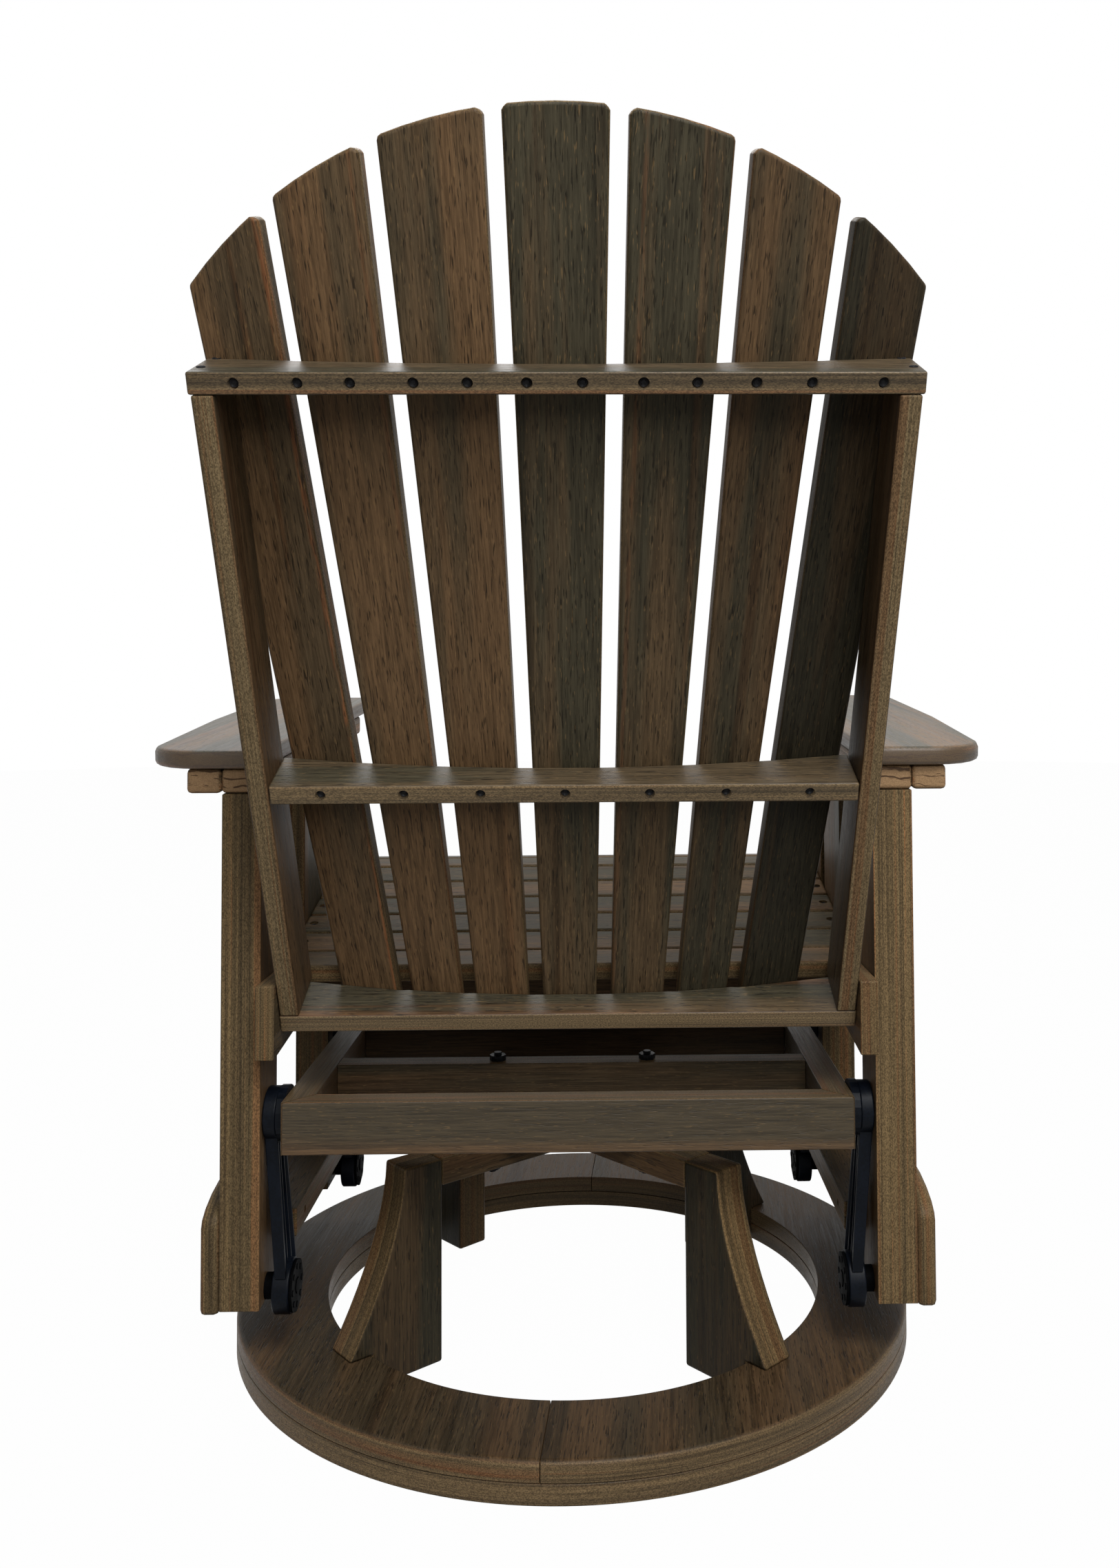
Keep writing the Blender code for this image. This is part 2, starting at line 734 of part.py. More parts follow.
def make_side(side_name):
    side = sides[side_name]
    legs = {}
    for end_name, back, depth in (("rear", rear_leg_back, rear_leg_depth),
                                  ("front", front_leg_back, front_leg_depth)):
        shape = side_prism(post_outline(back, depth, leg_bottom), leg_inner, leg_outer, side)
        legs[end_name] = node(f"{end_name}_leg_{side_name}", shape, "moss", seat)
    inner = leg_outer + fit_gap
    rail = side_prism(lower_rail_outline(), inner, inner + board, side)
    node(f"lower_side_rail_{side_name}", rail, "walnut", seat)
    back = rear_leg_back - rear_leg_depth - fit_gap
    front = front_leg_back + fit_gap
    top = stretcher_bottom + stretcher_thickness
    flat = [(back, stretcher_bottom), (back, top), (front, top), (front, stretcher_bottom)]
    stretcher = side_prism(flat, stretcher_inner, leg_outer, side)
    node(f"lower_stretcher_{side_name}", stretcher, "walnut", seat)
    post = side_prism(post_outline(post_back, post_depth, post_bottom), leg_inner, leg_outer, side)
    node(f"side_post_{side_name}", post, "moss", seat)
    stringer = side_prism(stringer_outline(), stringer_inner, stringer_outer, side)
    node(f"seat_stringer_{side_name}", stringer, "walnut", seat)
    return legs


# Seat
def seat_slat_shape(corners_and_tilts):
    shape = bmesh.new()
    for corner, tilt in corners_and_tilts:
        along = Vector((0, -math.cos(tilt), math.sin(tilt)))
        out = Vector((0, math.sin(tilt), math.cos(tilt))) * board
        start = Vector((-seat_slat_half_length, corner.x, corner.y)) + along * seat_slat_gap / 2
        end = start + along * seat_slat_width
        add_prism(shape, [start, end, end + out, start + out], Vector((0, 0, 0)),
                  Vector((2 * seat_slat_half_length, 0, 0)))
    return shape


def make_seat_slats():
    """Two sets of slats; a slim web over each stringer joins the slats of a set."""
    path, tilts = seat_path()
    straight = 1 + seat_straight_slats
    sets = {"seat_slats": range(0, straight), "seat_front_slats": range(straight, len(tilts))}
    for name, numbers in sets.items():
        slats = node(name, seat_slat_shape([(path[n], tilts[n]) for n in numbers]), "moss", seat)
        line = path[numbers[0]:numbers[-1] + 2]
        line = [line[0].lerp(line[1], 1 / 2)] + line[1:-1] + [line[-2].lerp(line[-1], 1 / 2)]
        web = [(point.x, point.y + seat_web_low) for point in line]
        web += [(point.x, point.y + seat_web_high) for point in reversed(line)]
        for side_name, side in sides.items():
            strip = side_prism(web, stringer_inner, stringer_outer, side)
            combine(slats, cutter(f"{name}_web_{side_name}", strip, seat), "UNION")
        if name == "seat_slats":
            combine(slats, cutter("seat_cleat", seat_cleat(path[1], tilts[1]), seat), "UNION")


def seat_cleat(corner, tilt):
    """A cross board on edge below the second slat, between the stringers."""
    along = Vector((-math.cos(tilt), math.sin(tilt)))
    out = Vector((math.sin(tilt), math.cos(tilt)))
    start = corner + along * seat_cleat_inset
    outline = [start - out * seat_cleat_depth, start + out * seat_cleat_lap]
    outline += [point + along * board for point in reversed(outline)]
    half = stringer_inner - fit_gap
    return prism([(-half, *point) for point in outline], Vector((2 * half, 0, 0)))


# Back
lean_up = Vector((0, math.sin(back_lean), math.cos(back_lean)))
lean_out = Vector((0, -math.cos(back_lean), math.sin(back_lean)))
across_x = Vector((1, 0, 0))
back_origin = Vector((0, back_foot, back_foot_height))


def back_point(x, depth, height):
    return back_origin + across_x * x + lean_out * depth + lean_up * height


def fan_line(index, height):
    """Middle of the gap outside slat number index, at a height up the back."""
    low = fan_half_width_low * fan_low_shares[index]
    high = fan_half_width_high * fan_high_shares[index]
    return low + (high - low) * height / fan_high_height


def slat_edges(number, height):
    """Left and right edge of a slat, numbered across the back from the middle one."""
    index = abs(number)
    outer = fan_line(index, height) - slat_gap / 2
    inner = fan_line(index - 1, height) + slat_gap / 2 if index else -outer
    return (inner, outer) if number >= 0 else (-outer, -inner)


def sweep_depth(x, height):
    """Depth of the concave line that the slats lie on."""
    rise = (rail_depth_high - rail_depth_low) * height / upper_rail_height
    return rail_depth_low + rise + rail_sweep * (x / upper_rail_half_width) ** 2


def slat_plane(number):
    """Depth of a slat's back face as a function of x and height."""
    low = sum(slat_edges(number, 0)) / 2
    high = sum(slat_edges(number, upper_rail_height)) / 2
    lean = rail_sweep * (low + high) / upper_rail_half_width ** 2
    low_depth = sweep_depth(low, 0)
    high_depth = sweep_depth(high, upper_rail_height)

    def depth(x, height):
        share = height / upper_rail_height
        middle = low + (high - low) * share
        return low_depth + (high_depth - low_depth) * share + lean * (x - middle)

    return depth


def rail_front(height, half_front):
    """Front edge of a rail, flat behind each slat, from right (-x) to left (+x)."""
    points = []
    for number in slat_numbers:
        depth = slat_plane(number)
        left, right = slat_edges(number, height)
        left = -half_front if number == -outer_slat else left - slat_gap / 4
        right = half_front if number == outer_slat else right + slat_gap / 4
        points += [(x, depth(x, height) - fit_gap) for x in (left, right)]
    return points


def make_rail(name, top, half_back, half_front):
    """A flat rail whose broad faces are square to the slats."""
    low = top - board
    outline = [(-half_back, 0)] + rail_front(top - board / 2, half_front) + [(half_back, 0)]
    points = [back_point(x, depth, low) for x, depth in outline]
    node(name, prism(points, lean_up * board), "walnut", seat)


def upright_half_width(height):
    share = height / (upper_rail_height - board)
    return upright_foot_half_width + (upright_head_half_width - upright_foot_half_width) * share


def make_uprights():
    top = upper_rail_height - board - fit_gap
    foot = upright_half_width(fit_gap)
    head = upright_half_width(top)
    outline = [(foot, fit_gap), (head, top), (head - board, top), (foot - board, fit_gap)]
    for side_name, side in sides.items():
        points = [back_point(side * x, 0, height) for x, height in outline]
        shape = prism(points, lean_out * upright_depth)
        node(f"back_upright_{side_name}", shape, "walnut", seat)


def slat_outline(number):
    """Front view outline of a slat: straight sides and a stretch of the arch."""
    def on_arch(x):
        return arch_top - arch_radius + math.sqrt(arch_radius ** 2 - x ** 2)

    left, right = slat_edges(number, arch_top)
    for _ in range(arch_passes):
        left = slat_edges(number, on_arch(left))[0]
        right = slat_edges(number, on_arch(right))[1]
    foot_left, foot_right = slat_edges(number, -slat_drop)
    crown = []
    for step in range(1, crown_steps):
        x = left + (right - left) * step / crown_steps
        crown.append((x, on_arch(x), 0))
    corners = [(foot_left, -slat_drop, 0), (left, on_arch(left), slat_corner_radius)] + crown
    corners += [(right, on_arch(right), slat_corner_radius), (foot_right, -slat_drop, 0)]
    return rounded(corners, corner_steps)


def make_back_slats():
    names = ("right_outer", "right_middle", "right_inner", "centre",
             "left_inner", "left_middle", "left_outer")
    for number, name in zip(slat_numbers, names):
        depth = slat_plane(number)
        outline = slat_outline(number)
        corners = [back_point(x, depth(x, height) + fit_gap, height) for x, height in outline]
        normal = (corners[-1] - corners[0]).cross(corners[1] - corners[0]).normalized()
        if normal.dot(lean_out) < 0:
            normal.negate()
        node(f"back_slat_{name}", prism(corners, normal * board), "moss", seat)


def make_back():
    low_reach = stringer_inner - fit_gap
    make_rail("back_bottom_rail", 0, low_reach, low_reach)
    reach = upright_half_width(middle_rail_height - board) - board - fit_gap
    make_rail("back_middle_rail", middle_rail_height, reach, reach)
    make_rail("back_upper_rail", upper_rail_height, upper_rail_half_width,
              upper_rail_half_width + upper_rail_front_flare)
    make_uprights()
    make_back_slats()


# Arms
def arm_outline():
    half_way = (arm_back + arm_front) / 2
    return rounded([(arm_inner, arm_back, 0), (arm_outer_back, arm_back, arm_back_round),
                    (arm_outer_middle, half_way, 0), (arm_outer_front, arm_front, arm_front_round),
                    (arm_inner, arm_front, arm_front_round / 2)])


def make_arm(side_name):
    side = sides[side_name]
    points = [Vector((side * x, y, arm_top(y))) for x, y in arm_outline()]
    normal = Vector((0, arm_slope, 1)).normalized()
    node(f"arm_{side_name}", prism(points, -normal * board), "moss", seat)


def make_under_rail(side_name):
    side = sides[side_name]
    back = rear_leg_back
    front = under_rail_front
    outline = [(back, under_rail_top(back)), (front, under_rail_top(front)),
               (front, under_rail_top(front) - under_rail_height),
               (back, under_rail_top(back) - under_rail_height)]
    shape = side_prism(outline, leg_inner, leg_inner + under_rail_width, side)
    node(f"under_arm_rail_{side_name}", shape, "walnut", seat)


def make_seat():
    make_seat_slats()
    for side_name in sides:
        legs = make_side(side_name)
        make_arm(side_name)
        make_under_rail(side_name)
        for end_name, leg in legs.items():
            make_lower_pivot(end_name, side_name, leg)


def centre_on_footprint():
    """Move the whole chair so that its origin is the middle of its footprint."""
    bpy.context.view_layer.update()
    reach = []
    for piece in bpy.data.objects:
        if piece.type == "MESH" and not piece.hide_render:
            reach += [(piece.matrix_world @ vertex.co).y for vertex in piece.data.vertices]
    stand.location.y = -(min(reach) + max(reach)) / 2
    print("swivel axis at y =", round(stand.location.y, 5))


make_base()
make_ball_cage()
make_box()
for link_end, link_side in links:
    make_link(link_end, link_side)
make_seat()
make_back()
centre_on_footprint()
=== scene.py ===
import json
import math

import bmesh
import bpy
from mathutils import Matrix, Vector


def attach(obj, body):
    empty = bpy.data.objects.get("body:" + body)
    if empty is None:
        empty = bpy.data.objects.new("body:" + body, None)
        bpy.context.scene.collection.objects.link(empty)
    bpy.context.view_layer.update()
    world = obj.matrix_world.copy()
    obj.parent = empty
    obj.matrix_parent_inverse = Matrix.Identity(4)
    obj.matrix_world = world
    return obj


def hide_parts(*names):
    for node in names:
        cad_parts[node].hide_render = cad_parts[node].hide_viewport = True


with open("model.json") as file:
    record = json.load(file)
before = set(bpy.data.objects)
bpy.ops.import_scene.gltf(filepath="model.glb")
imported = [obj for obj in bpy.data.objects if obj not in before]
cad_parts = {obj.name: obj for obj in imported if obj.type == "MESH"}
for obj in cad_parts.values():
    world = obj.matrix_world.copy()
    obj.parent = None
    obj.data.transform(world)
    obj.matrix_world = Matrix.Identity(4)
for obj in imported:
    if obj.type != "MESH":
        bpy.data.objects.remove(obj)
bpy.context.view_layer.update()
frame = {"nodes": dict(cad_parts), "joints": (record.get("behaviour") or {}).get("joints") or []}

# %% [markdown]
# # A fan-back swivel glider
#
# The chair is made of extruded poly-lumber boards that are screwed together. Its seat
# frame hangs from four black links, the links hang from a box of rails, and the box
# turns on a swivel over a ring with four curved legs.
#
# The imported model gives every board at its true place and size. This lesson rounds the
# boards' edges, cuts the screw holes, builds the moulded links and gives each board a
# streaked material whose grain runs along it.

X = Vector((1, 0, 0))
Y = Vector((0, 1, 0))
Z = Vector((0, 0, 1))
joint_at = {joint["name"]: Vector(joint["pos_m"]) for joint in frame["joints"]}
swivel_axis = Vector((0, joint_at["swivel"].y, 0))
sides = {"left": 1, "right": -1}
ends = {"rear": joint_at["glide"].y, "front": joint_at["glide_front_left"].y}
print("the swivel axis stands at", swivel_axis)

# %% [markdown]
# ## The camera
#
# The photograph was taken from behind, about 1.4 m away and about as high as the front
# ends of the arms, with a wide lens. A wide lens close by makes the ring look large and
# the back look small, so the lens matters as much as the place. The picture was cropped
# off centre, which a lens shift repeats without turning the camera.

# %% Camera
picture_width = 1624
picture_height = 2276
focal_pixels = 1846.9
axis_pixel = (907.1, 942.8)
camera_place = Vector((-0.0342, 1.3643, 0.6642))
camera_line = Vector((-0.0170, -0.9992, 0.0370))
camera_roll = 0.005


def add_camera():
    lens = bpy.data.cameras.new("photo_camera")
    lens.lens = focal_pixels * lens.sensor_width / picture_height
    lens.shift_x = (picture_width / 2 - axis_pixel[0]) / picture_height
    lens.shift_y = (axis_pixel[1] - picture_height / 2) / picture_height
    camera = bpy.data.objects.new("photo_camera", lens)
    turn = camera_line.to_track_quat("-Z", "Y").to_matrix() @ Matrix.Rotation(-camera_roll, 3, "Z")
    camera.matrix_world = Matrix.Translation(camera_place) @ turn.to_4x4()
    bpy.context.scene.collection.objects.link(camera)
    bpy.context.scene.camera = camera
    return camera


print("lens", round(add_camera().data.lens, 2), "mm")

# %% [markdown]
# ## Light and floor
#
# The chair stands in soft, even light with nothing behind it. A grey-white world lights
# it from all round, two large lamps above the camera give the boards' rounded edges a
# highlight, a third lights the chair's front, and the floor is pale and keeps a faint
# shadow. What the camera sees of the world and the floor is plain white, and polished
# surfaces mirror the same white.

# %% Node helpers


def feed(tree, socket, value):
    """Give a socket a number, a colour or another node's output."""
    if isinstance(value, bpy.types.NodeSocket):
        tree.links.new(value, socket)
    else:
        socket.default_value = value


def add_node(tree, kind, inputs=None, **settings):
    made = tree.nodes.new(kind)
    for key, value in settings.items():
        setattr(made, key, value)
    for key, value in (inputs or {}).items():
        feed(tree, made.inputs[key], value)
    return made


def blend_colours(tree, amount, first, second, how="MIX"):
    made = tree.nodes.new("ShaderNodeMix")
    made.data_type = "RGBA"
    made.blend_type = how
    for number, value in ((0, amount), (6, first), (7, second)):
        feed(tree, made.inputs[number], value)
    return made.outputs[2]


def arithmetic(tree, how, first, second, clamp=False):
    made = add_node(tree, "ShaderNodeMath", {0: first, 1: second}, operation=how, use_clamp=clamp)
    return made.outputs[0]


def remap(tree, value, low, high, to_low=0.0, to_high=1.0):
    made = add_node(tree, "ShaderNodeMapRange", {"Value": value, "From Min": low, "From Max": high,
                                                 "To Min": to_low, "To Max": to_high},
                    interpolation_type="SMOOTHSTEP")
    return made.outputs[0]


def colour(red, green, blue):
    """A screen colour, 0 to 255, as linear values."""
    linear = [((value / 255 + 0.055) / 1.055) ** 2.4 for value in (red, green, blue)]
    return (*linear, 1.0)


white = (1.0, 1.0, 1.0, 1.0)
print("mid grey, linear:", round(colour(128, 128, 128)[0], 4))

# %% World, lamps and floor
world_light = 0.16
floor_radius = 12.0
floor_grey = 0.26
floor_glow = 0.985


def light_world():
    world = bpy.data.worlds.new("studio_world")
    world.use_nodes = True
    tree = world.node_tree
    shader = tree.nodes["Background"]
    shader.inputs["Color"].default_value = white
    rays = add_node(tree, "ShaderNodeLightPath")
    seen = arithmetic(tree, "MAXIMUM", rays.outputs["Is Camera Ray"], rays.outputs["Is Glossy Ray"])
    seen = arithmetic(tree, "MAXIMUM", seen, rays.outputs["Is Transmission Ray"])
    feed(tree, shader.inputs["Strength"], remap(tree, seen, 0.0, 1.0, world_light, 1.0))
    bpy.context.scene.world = world


def add_lamp(name, place, target, size, power):
    lamp = bpy.data.lights.new(name, "AREA")
    lamp.shape = "DISK"
    lamp.size = size
    lamp.energy = power
    holder = bpy.data.objects.new(name, lamp)
    aim = (Vector(target) - Vector(place)).to_track_quat("-Z", "Y")
    holder.matrix_world = Matrix.Translation(place) @ aim.to_matrix().to_4x4()
    bpy.context.scene.collection.objects.link(holder)
    return holder


def add_floor():
    shape = bmesh.new()
    bmesh.ops.create_circle(shape, cap_ends=True, segments=64, radius=floor_radius)
    mesh = bpy.data.meshes.new("floor")
    shape.to_mesh(mesh)
    shape.free()
    floor = bpy.data.objects.new("floor", mesh)
    bpy.context.scene.collection.objects.link(floor)
    material = bpy.data.materials.new("floor_paper")
    material.use_nodes = True
    tree = material.node_tree
    paper = tree.nodes["Principled BSDF"]
    paper.inputs["Base Color"].default_value = (floor_grey, floor_grey, floor_grey, 1.0)
    paper.inputs["Roughness"].default_value = 0.9
    rays = add_node(tree, "ShaderNodeLightPath")
    glow = add_node(tree, "ShaderNodeEmission", {"Color": white, "Strength": 1.0})
    seen = arithmetic(tree, "MAXIMUM", rays.outputs["Is Camera Ray"], rays.outputs["Is Glossy Ray"])
    share = arithmetic(tree, "MULTIPLY", seen, floor_glow)
    both = add_node(tree, "ShaderNodeMixShader", {0: share, 1: paper.outputs[0], 2: glow.outputs[0]})
    feed(tree, tree.nodes["Material Output"].inputs["Surface"], both.outputs[0])
    mesh.materials.append(material)


# Each row: name, place, target, size in metres, power in watts
lamps = [
    ("key_lamp", (-0.6, 1.9, 2.8), (0, 0, 0.6), 1.3, 92),
    ("fill_lamp", (-0.4, 2.8, 1.7), (0, 0, 0.5), 1.5, 42),
    ("front_lamp", (0.5, -1.5, 3.1), (0, 0, 0.4), 1.6, 34),
]
light_world()
for lamp_row in lamps:
    add_lamp(*lamp_row)
add_floor()
bpy.context.scene.view_settings.view_transform = "Standard"
print("lamps:", [row[0] for row in lamps])

# %% [markdown]
# ## Poly-lumber
#
# The boards are coloured plastic with a wood look: long brown and green-grey streaks,
# fine grain, short dark ticks and here and there a rusty stripe. The narrow sides are
# lighter and show fine straight lines that run along the board, as extrusion leaves them.
#
# One node group draws all of this in a board's own directions: x along the grain, y
# across the board and z through its thickness. Each board's material only turns and
# shifts the pattern, so that no two boards look alike.

# %% The poly-lumber node group


def noise_at(tree, place, scale, detail=2.0, roughness=0.5, seed=0.0):
    """Noise whose grain is scaled differently along, across and through the board."""
    stretched = add_node(tree, "ShaderNodeVectorMath", {0: place, 1: scale}, operation="MULTIPLY")
    made = add_node(tree, "ShaderNodeTexNoise", {"Vector": stretched.outputs[0], "W": seed, "Scale": 1.0,
                                                 "Detail": detail, "Roughness": roughness},
                    noise_dimensions="4D")
    return made.outputs[0]


def make_lumber_group():
    group = bpy.data.node_groups.new("poly_lumber", "ShaderNodeTree")
    sockets = group.interface
    for name in ("Place", "Facing"):
        sockets.new_socket(name=name, in_out="INPUT", socket_type="NodeSocketVector")
    for name in ("Brown", "Green", "Edge"):
        sockets.new_socket(name=name, in_out="INPUT", socket_type="NodeSocketColor")
    for name in ("Seed", "Green Share", "Rust", "Tone And Shade", "Stripe", "Stripe Place", "Sawn", "Ticks"):
        sockets.new_socket(name=name, in_out="INPUT", socket_type="NodeSocketFloat")
    sockets.new_socket(name="Color", in_out="OUTPUT", socket_type="NodeSocketColor")
    sockets.new_socket(name="Roughness", in_out="OUTPUT", socket_type="NodeSocketFloat")
    sockets.new_socket(name="Height", in_out="OUTPUT", socket_type="NodeSocketFloat")
    given = add_node(group, "NodeGroupInput").outputs
    place = given["Place"]

    def pattern(scale, detail=2.0, roughness=0.5):
        return noise_at(group, place, scale, detail, roughness, given["Seed"])

    def times(first, second):
        return arithmetic(group, "MULTIPLY", first, second)

    def magnitude(value):
        return arithmetic(group, "ABSOLUTE", value, 0.0)

    def shaded(base, factor):
        return blend_colours(group, 1.0, base, factor, "MULTIPLY")

    # Broad streaks of two colours, rusty streaks and one long stripe
    patch = remap(group, pattern((1.0, 19, 19), 3.0), 0.40, 0.60)
    bias = times(arithmetic(group, "SUBTRACT", given["Green Share"], 0.5), 1.6)
    greenness = arithmetic(group, "ADD", patch, bias, clamp=True)
    face = blend_colours(group, greenness, given["Brown"], given["Green"])
    rusty = times(remap(group, pattern((0.8, 60, 60)), 0.56, 0.68), given["Rust"])
    face = blend_colours(group, rusty, face, colour(112, 72, 42))
    axes = add_node(group, "ShaderNodeSeparateXYZ", {0: place}).outputs
    wander = times(arithmetic(group, "SUBTRACT", pattern((5, 5, 5)), 0.5), 0.006)
    wandered = arithmetic(group, "ADD", axes["Y"], wander)
    offset = arithmetic(group, "SUBTRACT", wandered, given["Stripe Place"])
    stripe = remap(group, magnitude(offset), 0.0006, 0.0034, 1.0, 0.0)
    worn = remap(group, pattern((26, 260, 260)), 0.38, 0.56)
    stripe = times(times(stripe, worn), given["Stripe"])
    face = blend_colours(group, stripe, face, colour(120, 72, 42))
    face = shaded(face, remap(group, pattern((1.4, 70, 70)), 0.54, 0.70, 1.0, 0.58))

    # Fine grain, dark ticks and pale ticks
    grain = pattern((18, 520, 520), 4.0, 0.72)
    face = shaded(face, remap(group, grain, 0.30, 0.70, 0.58, 1.42))
    tick = remap(group, pattern((72, 820, 820), 1.0), 0.59, 0.68)
    face = blend_colours(group, times(tick, given["Ticks"]), face, colour(20, 16, 11))
    pale = remap(group, pattern((110, 820, 820), 1.0), 0.63, 0.72)
    face = blend_colours(group, times(pale, 0.26), face, colour(140, 112, 74))

    # Extruded sides: straight lines and a speckle
    lines = pattern((1.6, 4.0, 330), 3.0, 0.72)
    dark_line = blend_colours(group, 0.45, colour(48, 38, 27), given["Edge"])
    side = blend_colours(group, remap(group, lines, 0.36, 0.48), dark_line, given["Edge"])
    side = blend_colours(group, remap(group, lines, 0.56, 0.68, 0.0, 0.6), side, colour(118, 76, 46))
    bands = pattern((0.5, 1.0, 120), 1.0)
    side = blend_colours(group, remap(group, bands, 0.52, 0.62, 0.0, 0.45), side, colour(104, 66, 40))
    side = blend_colours(group, remap(group, bands, 0.38, 0.48, 0.40, 0.0), side, colour(46, 40, 30))
    speckle = pattern((620, 900, 1400), 1.0)
    side = shaded(side, remap(group, speckle, 0.34, 0.66, 0.62, 1.42))
    hair = pattern((1.6, 4.0, 820))
    side = shaded(side, remap(group, hair, 0.35, 0.65, 0.78, 1.18))

    # Sawn ends: bent growth lines
    sway = times(pattern((60, 60, 60)), 0.030)
    lift = arithmetic(group, "ADD", axes["Z"], times(pattern((40, 45, 45)), 0.012))
    bent = add_node(group, "ShaderNodeCombineXYZ", {0: axes["X"], 1: sway, 2: lift})
    rings = noise_at(group, bent.outputs[0], (30, 80, 560), 1.0, 0.5, given["Seed"])
    end = blend_colours(group, remap(group, rings, 0.34, 0.41), colour(56, 41, 28), given["Edge"])
    end = shaded(end, remap(group, speckle, 0.34, 0.66, 0.84, 1.16))

    # Which of the three looks a face gets
    facing = add_node(group, "ShaderNodeSeparateXYZ", {0: given["Facing"]}).outputs
    broad = remap(group, magnitude(facing["Z"]), 0.50, 0.85)
    sawn = times(remap(group, magnitude(facing["X"]), 0.72, 0.90), given["Sawn"])
    look = blend_colours(group, sawn, blend_colours(group, broad, side, face), end)
    # The tone darkens the whole board; on some boards it also holds painted shade
    look = shaded(look, given["Tone And Shade"])
    rise = arithmetic(group, "SUBTRACT", grain, times(tick, 0.8))
    groove = times(arithmetic(group, "ADD", lines, speckle), 0.5)
    height = add_node(group, "ShaderNodeMix", {0: broad, 2: groove, 3: rise}, data_type="FLOAT").outputs[0]
    rough = remap(group, grain, 0.3, 0.7, 0.40, 0.56)
    add_node(group, "NodeGroupOutput", {"Color": look, "Roughness": rough, "Height": height})
    return group


poly_lumber = make_lumber_group()
print("poly-lumber group:", len(poly_lumber.nodes), "nodes")

# %% A board's own material
board_brown = colour(92, 71, 49)
board_green = colour(59, 54, 41)
board_edge = colour(92, 76, 52)
board_gloss = 0.07
board_ticks = 0.72
seed_step = 1.7
grain_bump = 0.4
grain_depth = 0.0006


def board_turn(grain, thickness):
    """The turn that lays a board's grain along x and its thickness along z."""
    along = Vector(grain).normalized()
    through = (Vector(thickness) - Vector(thickness).project(along)).normalized()
    return Matrix((along, through.cross(along), through)).to_euler()


def middle_of(shape):
    corners = [vert.co for vert in shape.verts]
    low = Vector(min(corner[axis] for corner in corners) for axis in range(3))
    high = Vector(max(corner[axis] for corner in corners) for axis in range(3))
    return (low + high) / 2


def lumber(name, grain, thickness, middle, green=0.4, tone_and_shade=1.0, rust=0.35, edge=board_edge,
           stripe=(0.0, 0.0), gloss=board_gloss, sawn=0.0, ticks=board_ticks):
    """A board's material: the shared pattern, turned to the board and centred on it."""
    material = bpy.data.materials.new(name)
    material.use_nodes = True
    tree = material.node_tree
    shader = tree.nodes["Principled BSDF"]
    spots = add_node(tree, "ShaderNodeTexCoord")
    turn = board_turn(grain, thickness)
    centre = -(turn.to_matrix() @ middle)
    place = add_node(tree, "ShaderNodeMapping", {"Vector": spots.outputs["Object"], "Rotation": turn,
                                                 "Location": centre}, vector_type="POINT")
    facing = add_node(tree, "ShaderNodeMapping", {"Vector": spots.outputs["Normal"], "Rotation": turn},
                      vector_type="VECTOR")
    look = add_node(tree, "ShaderNodeGroup", node_tree=poly_lumber)
    wanted = {"Place": place.outputs[0], "Facing": facing.outputs[0], "Brown": board_brown,
              "Green": board_green, "Edge": edge, "Seed": seed_step * len(bpy.data.materials),
              "Green Share": green, "Rust": rust, "Tone And Shade": tone_and_shade, "Stripe": stripe[0],
              "Stripe Place": stripe[1], "Sawn": sawn, "Ticks": ticks}
    for key, value in wanted.items():
        feed(tree, look.inputs[key], value)
    bump = add_node(tree, "ShaderNodeBump", {"Strength": grain_bump, "Distance": grain_depth,
                                             "Height": look.outputs["Height"]})
    feed(tree, shader.inputs["Base Color"], look.outputs["Color"])
    feed(tree, shader.inputs["Roughness"], look.outputs["Roughness"])
    feed(tree, shader.inputs["Normal"], bump.outputs[0])
    shader.inputs["Specular IOR Level"].default_value = gloss
    return material


# %% [markdown]
# ## Black nylon and steel
#
# The links and pivot discs are moulded nylon, bluish black with a soft shine and a faint
# grain of the mould, and the caps of the lower pivots are a duller black. Screws, bolts
# and swivel plates are black-coated steel, and the bearing between the plates is bronze.

# %% Nylon, steel and bronze
mottle_scale = 420.0
broad_mottle_scale = mottle_scale / 12
mottle_bump = 0.3
mottle_depth = 0.0002
cap_gloss = 0.01
metal_gloss = 0.5


def plain_finish(name, first, second, low, high, metallic=0.0, gloss=board_gloss):
    """Two close colours in a fine mottle, whose roughness varies with it."""
    material = bpy.data.materials.new(name)
    material.use_nodes = True
    tree = material.node_tree
    shader = tree.nodes["Principled BSDF"]
    spots = add_node(tree, "ShaderNodeTexCoord")
    fine = noise_at(tree, spots.outputs["Object"], (mottle_scale,) * 3, 3.0)
    broad = noise_at(tree, spots.outputs["Object"], (broad_mottle_scale,) * 3, 2.0)
    mottle = arithmetic(tree, "MULTIPLY", arithmetic(tree, "ADD", fine, broad), 0.5)
    mixed = blend_colours(tree, remap(tree, mottle, 0.4, 0.6), first, second)
    feed(tree, shader.inputs["Base Color"], mixed)
    feed(tree, shader.inputs["Roughness"], remap(tree, broad, 0.3, 0.7, low, high))
    bump = add_node(tree, "ShaderNodeBump", {"Strength": mottle_bump, "Distance": mottle_depth,
                                             "Height": fine})
    feed(tree, shader.inputs["Normal"], bump.outputs[0])
    shader.inputs["Metallic"].default_value = metallic
    shader.inputs["Specular IOR Level"].default_value = gloss
    return material


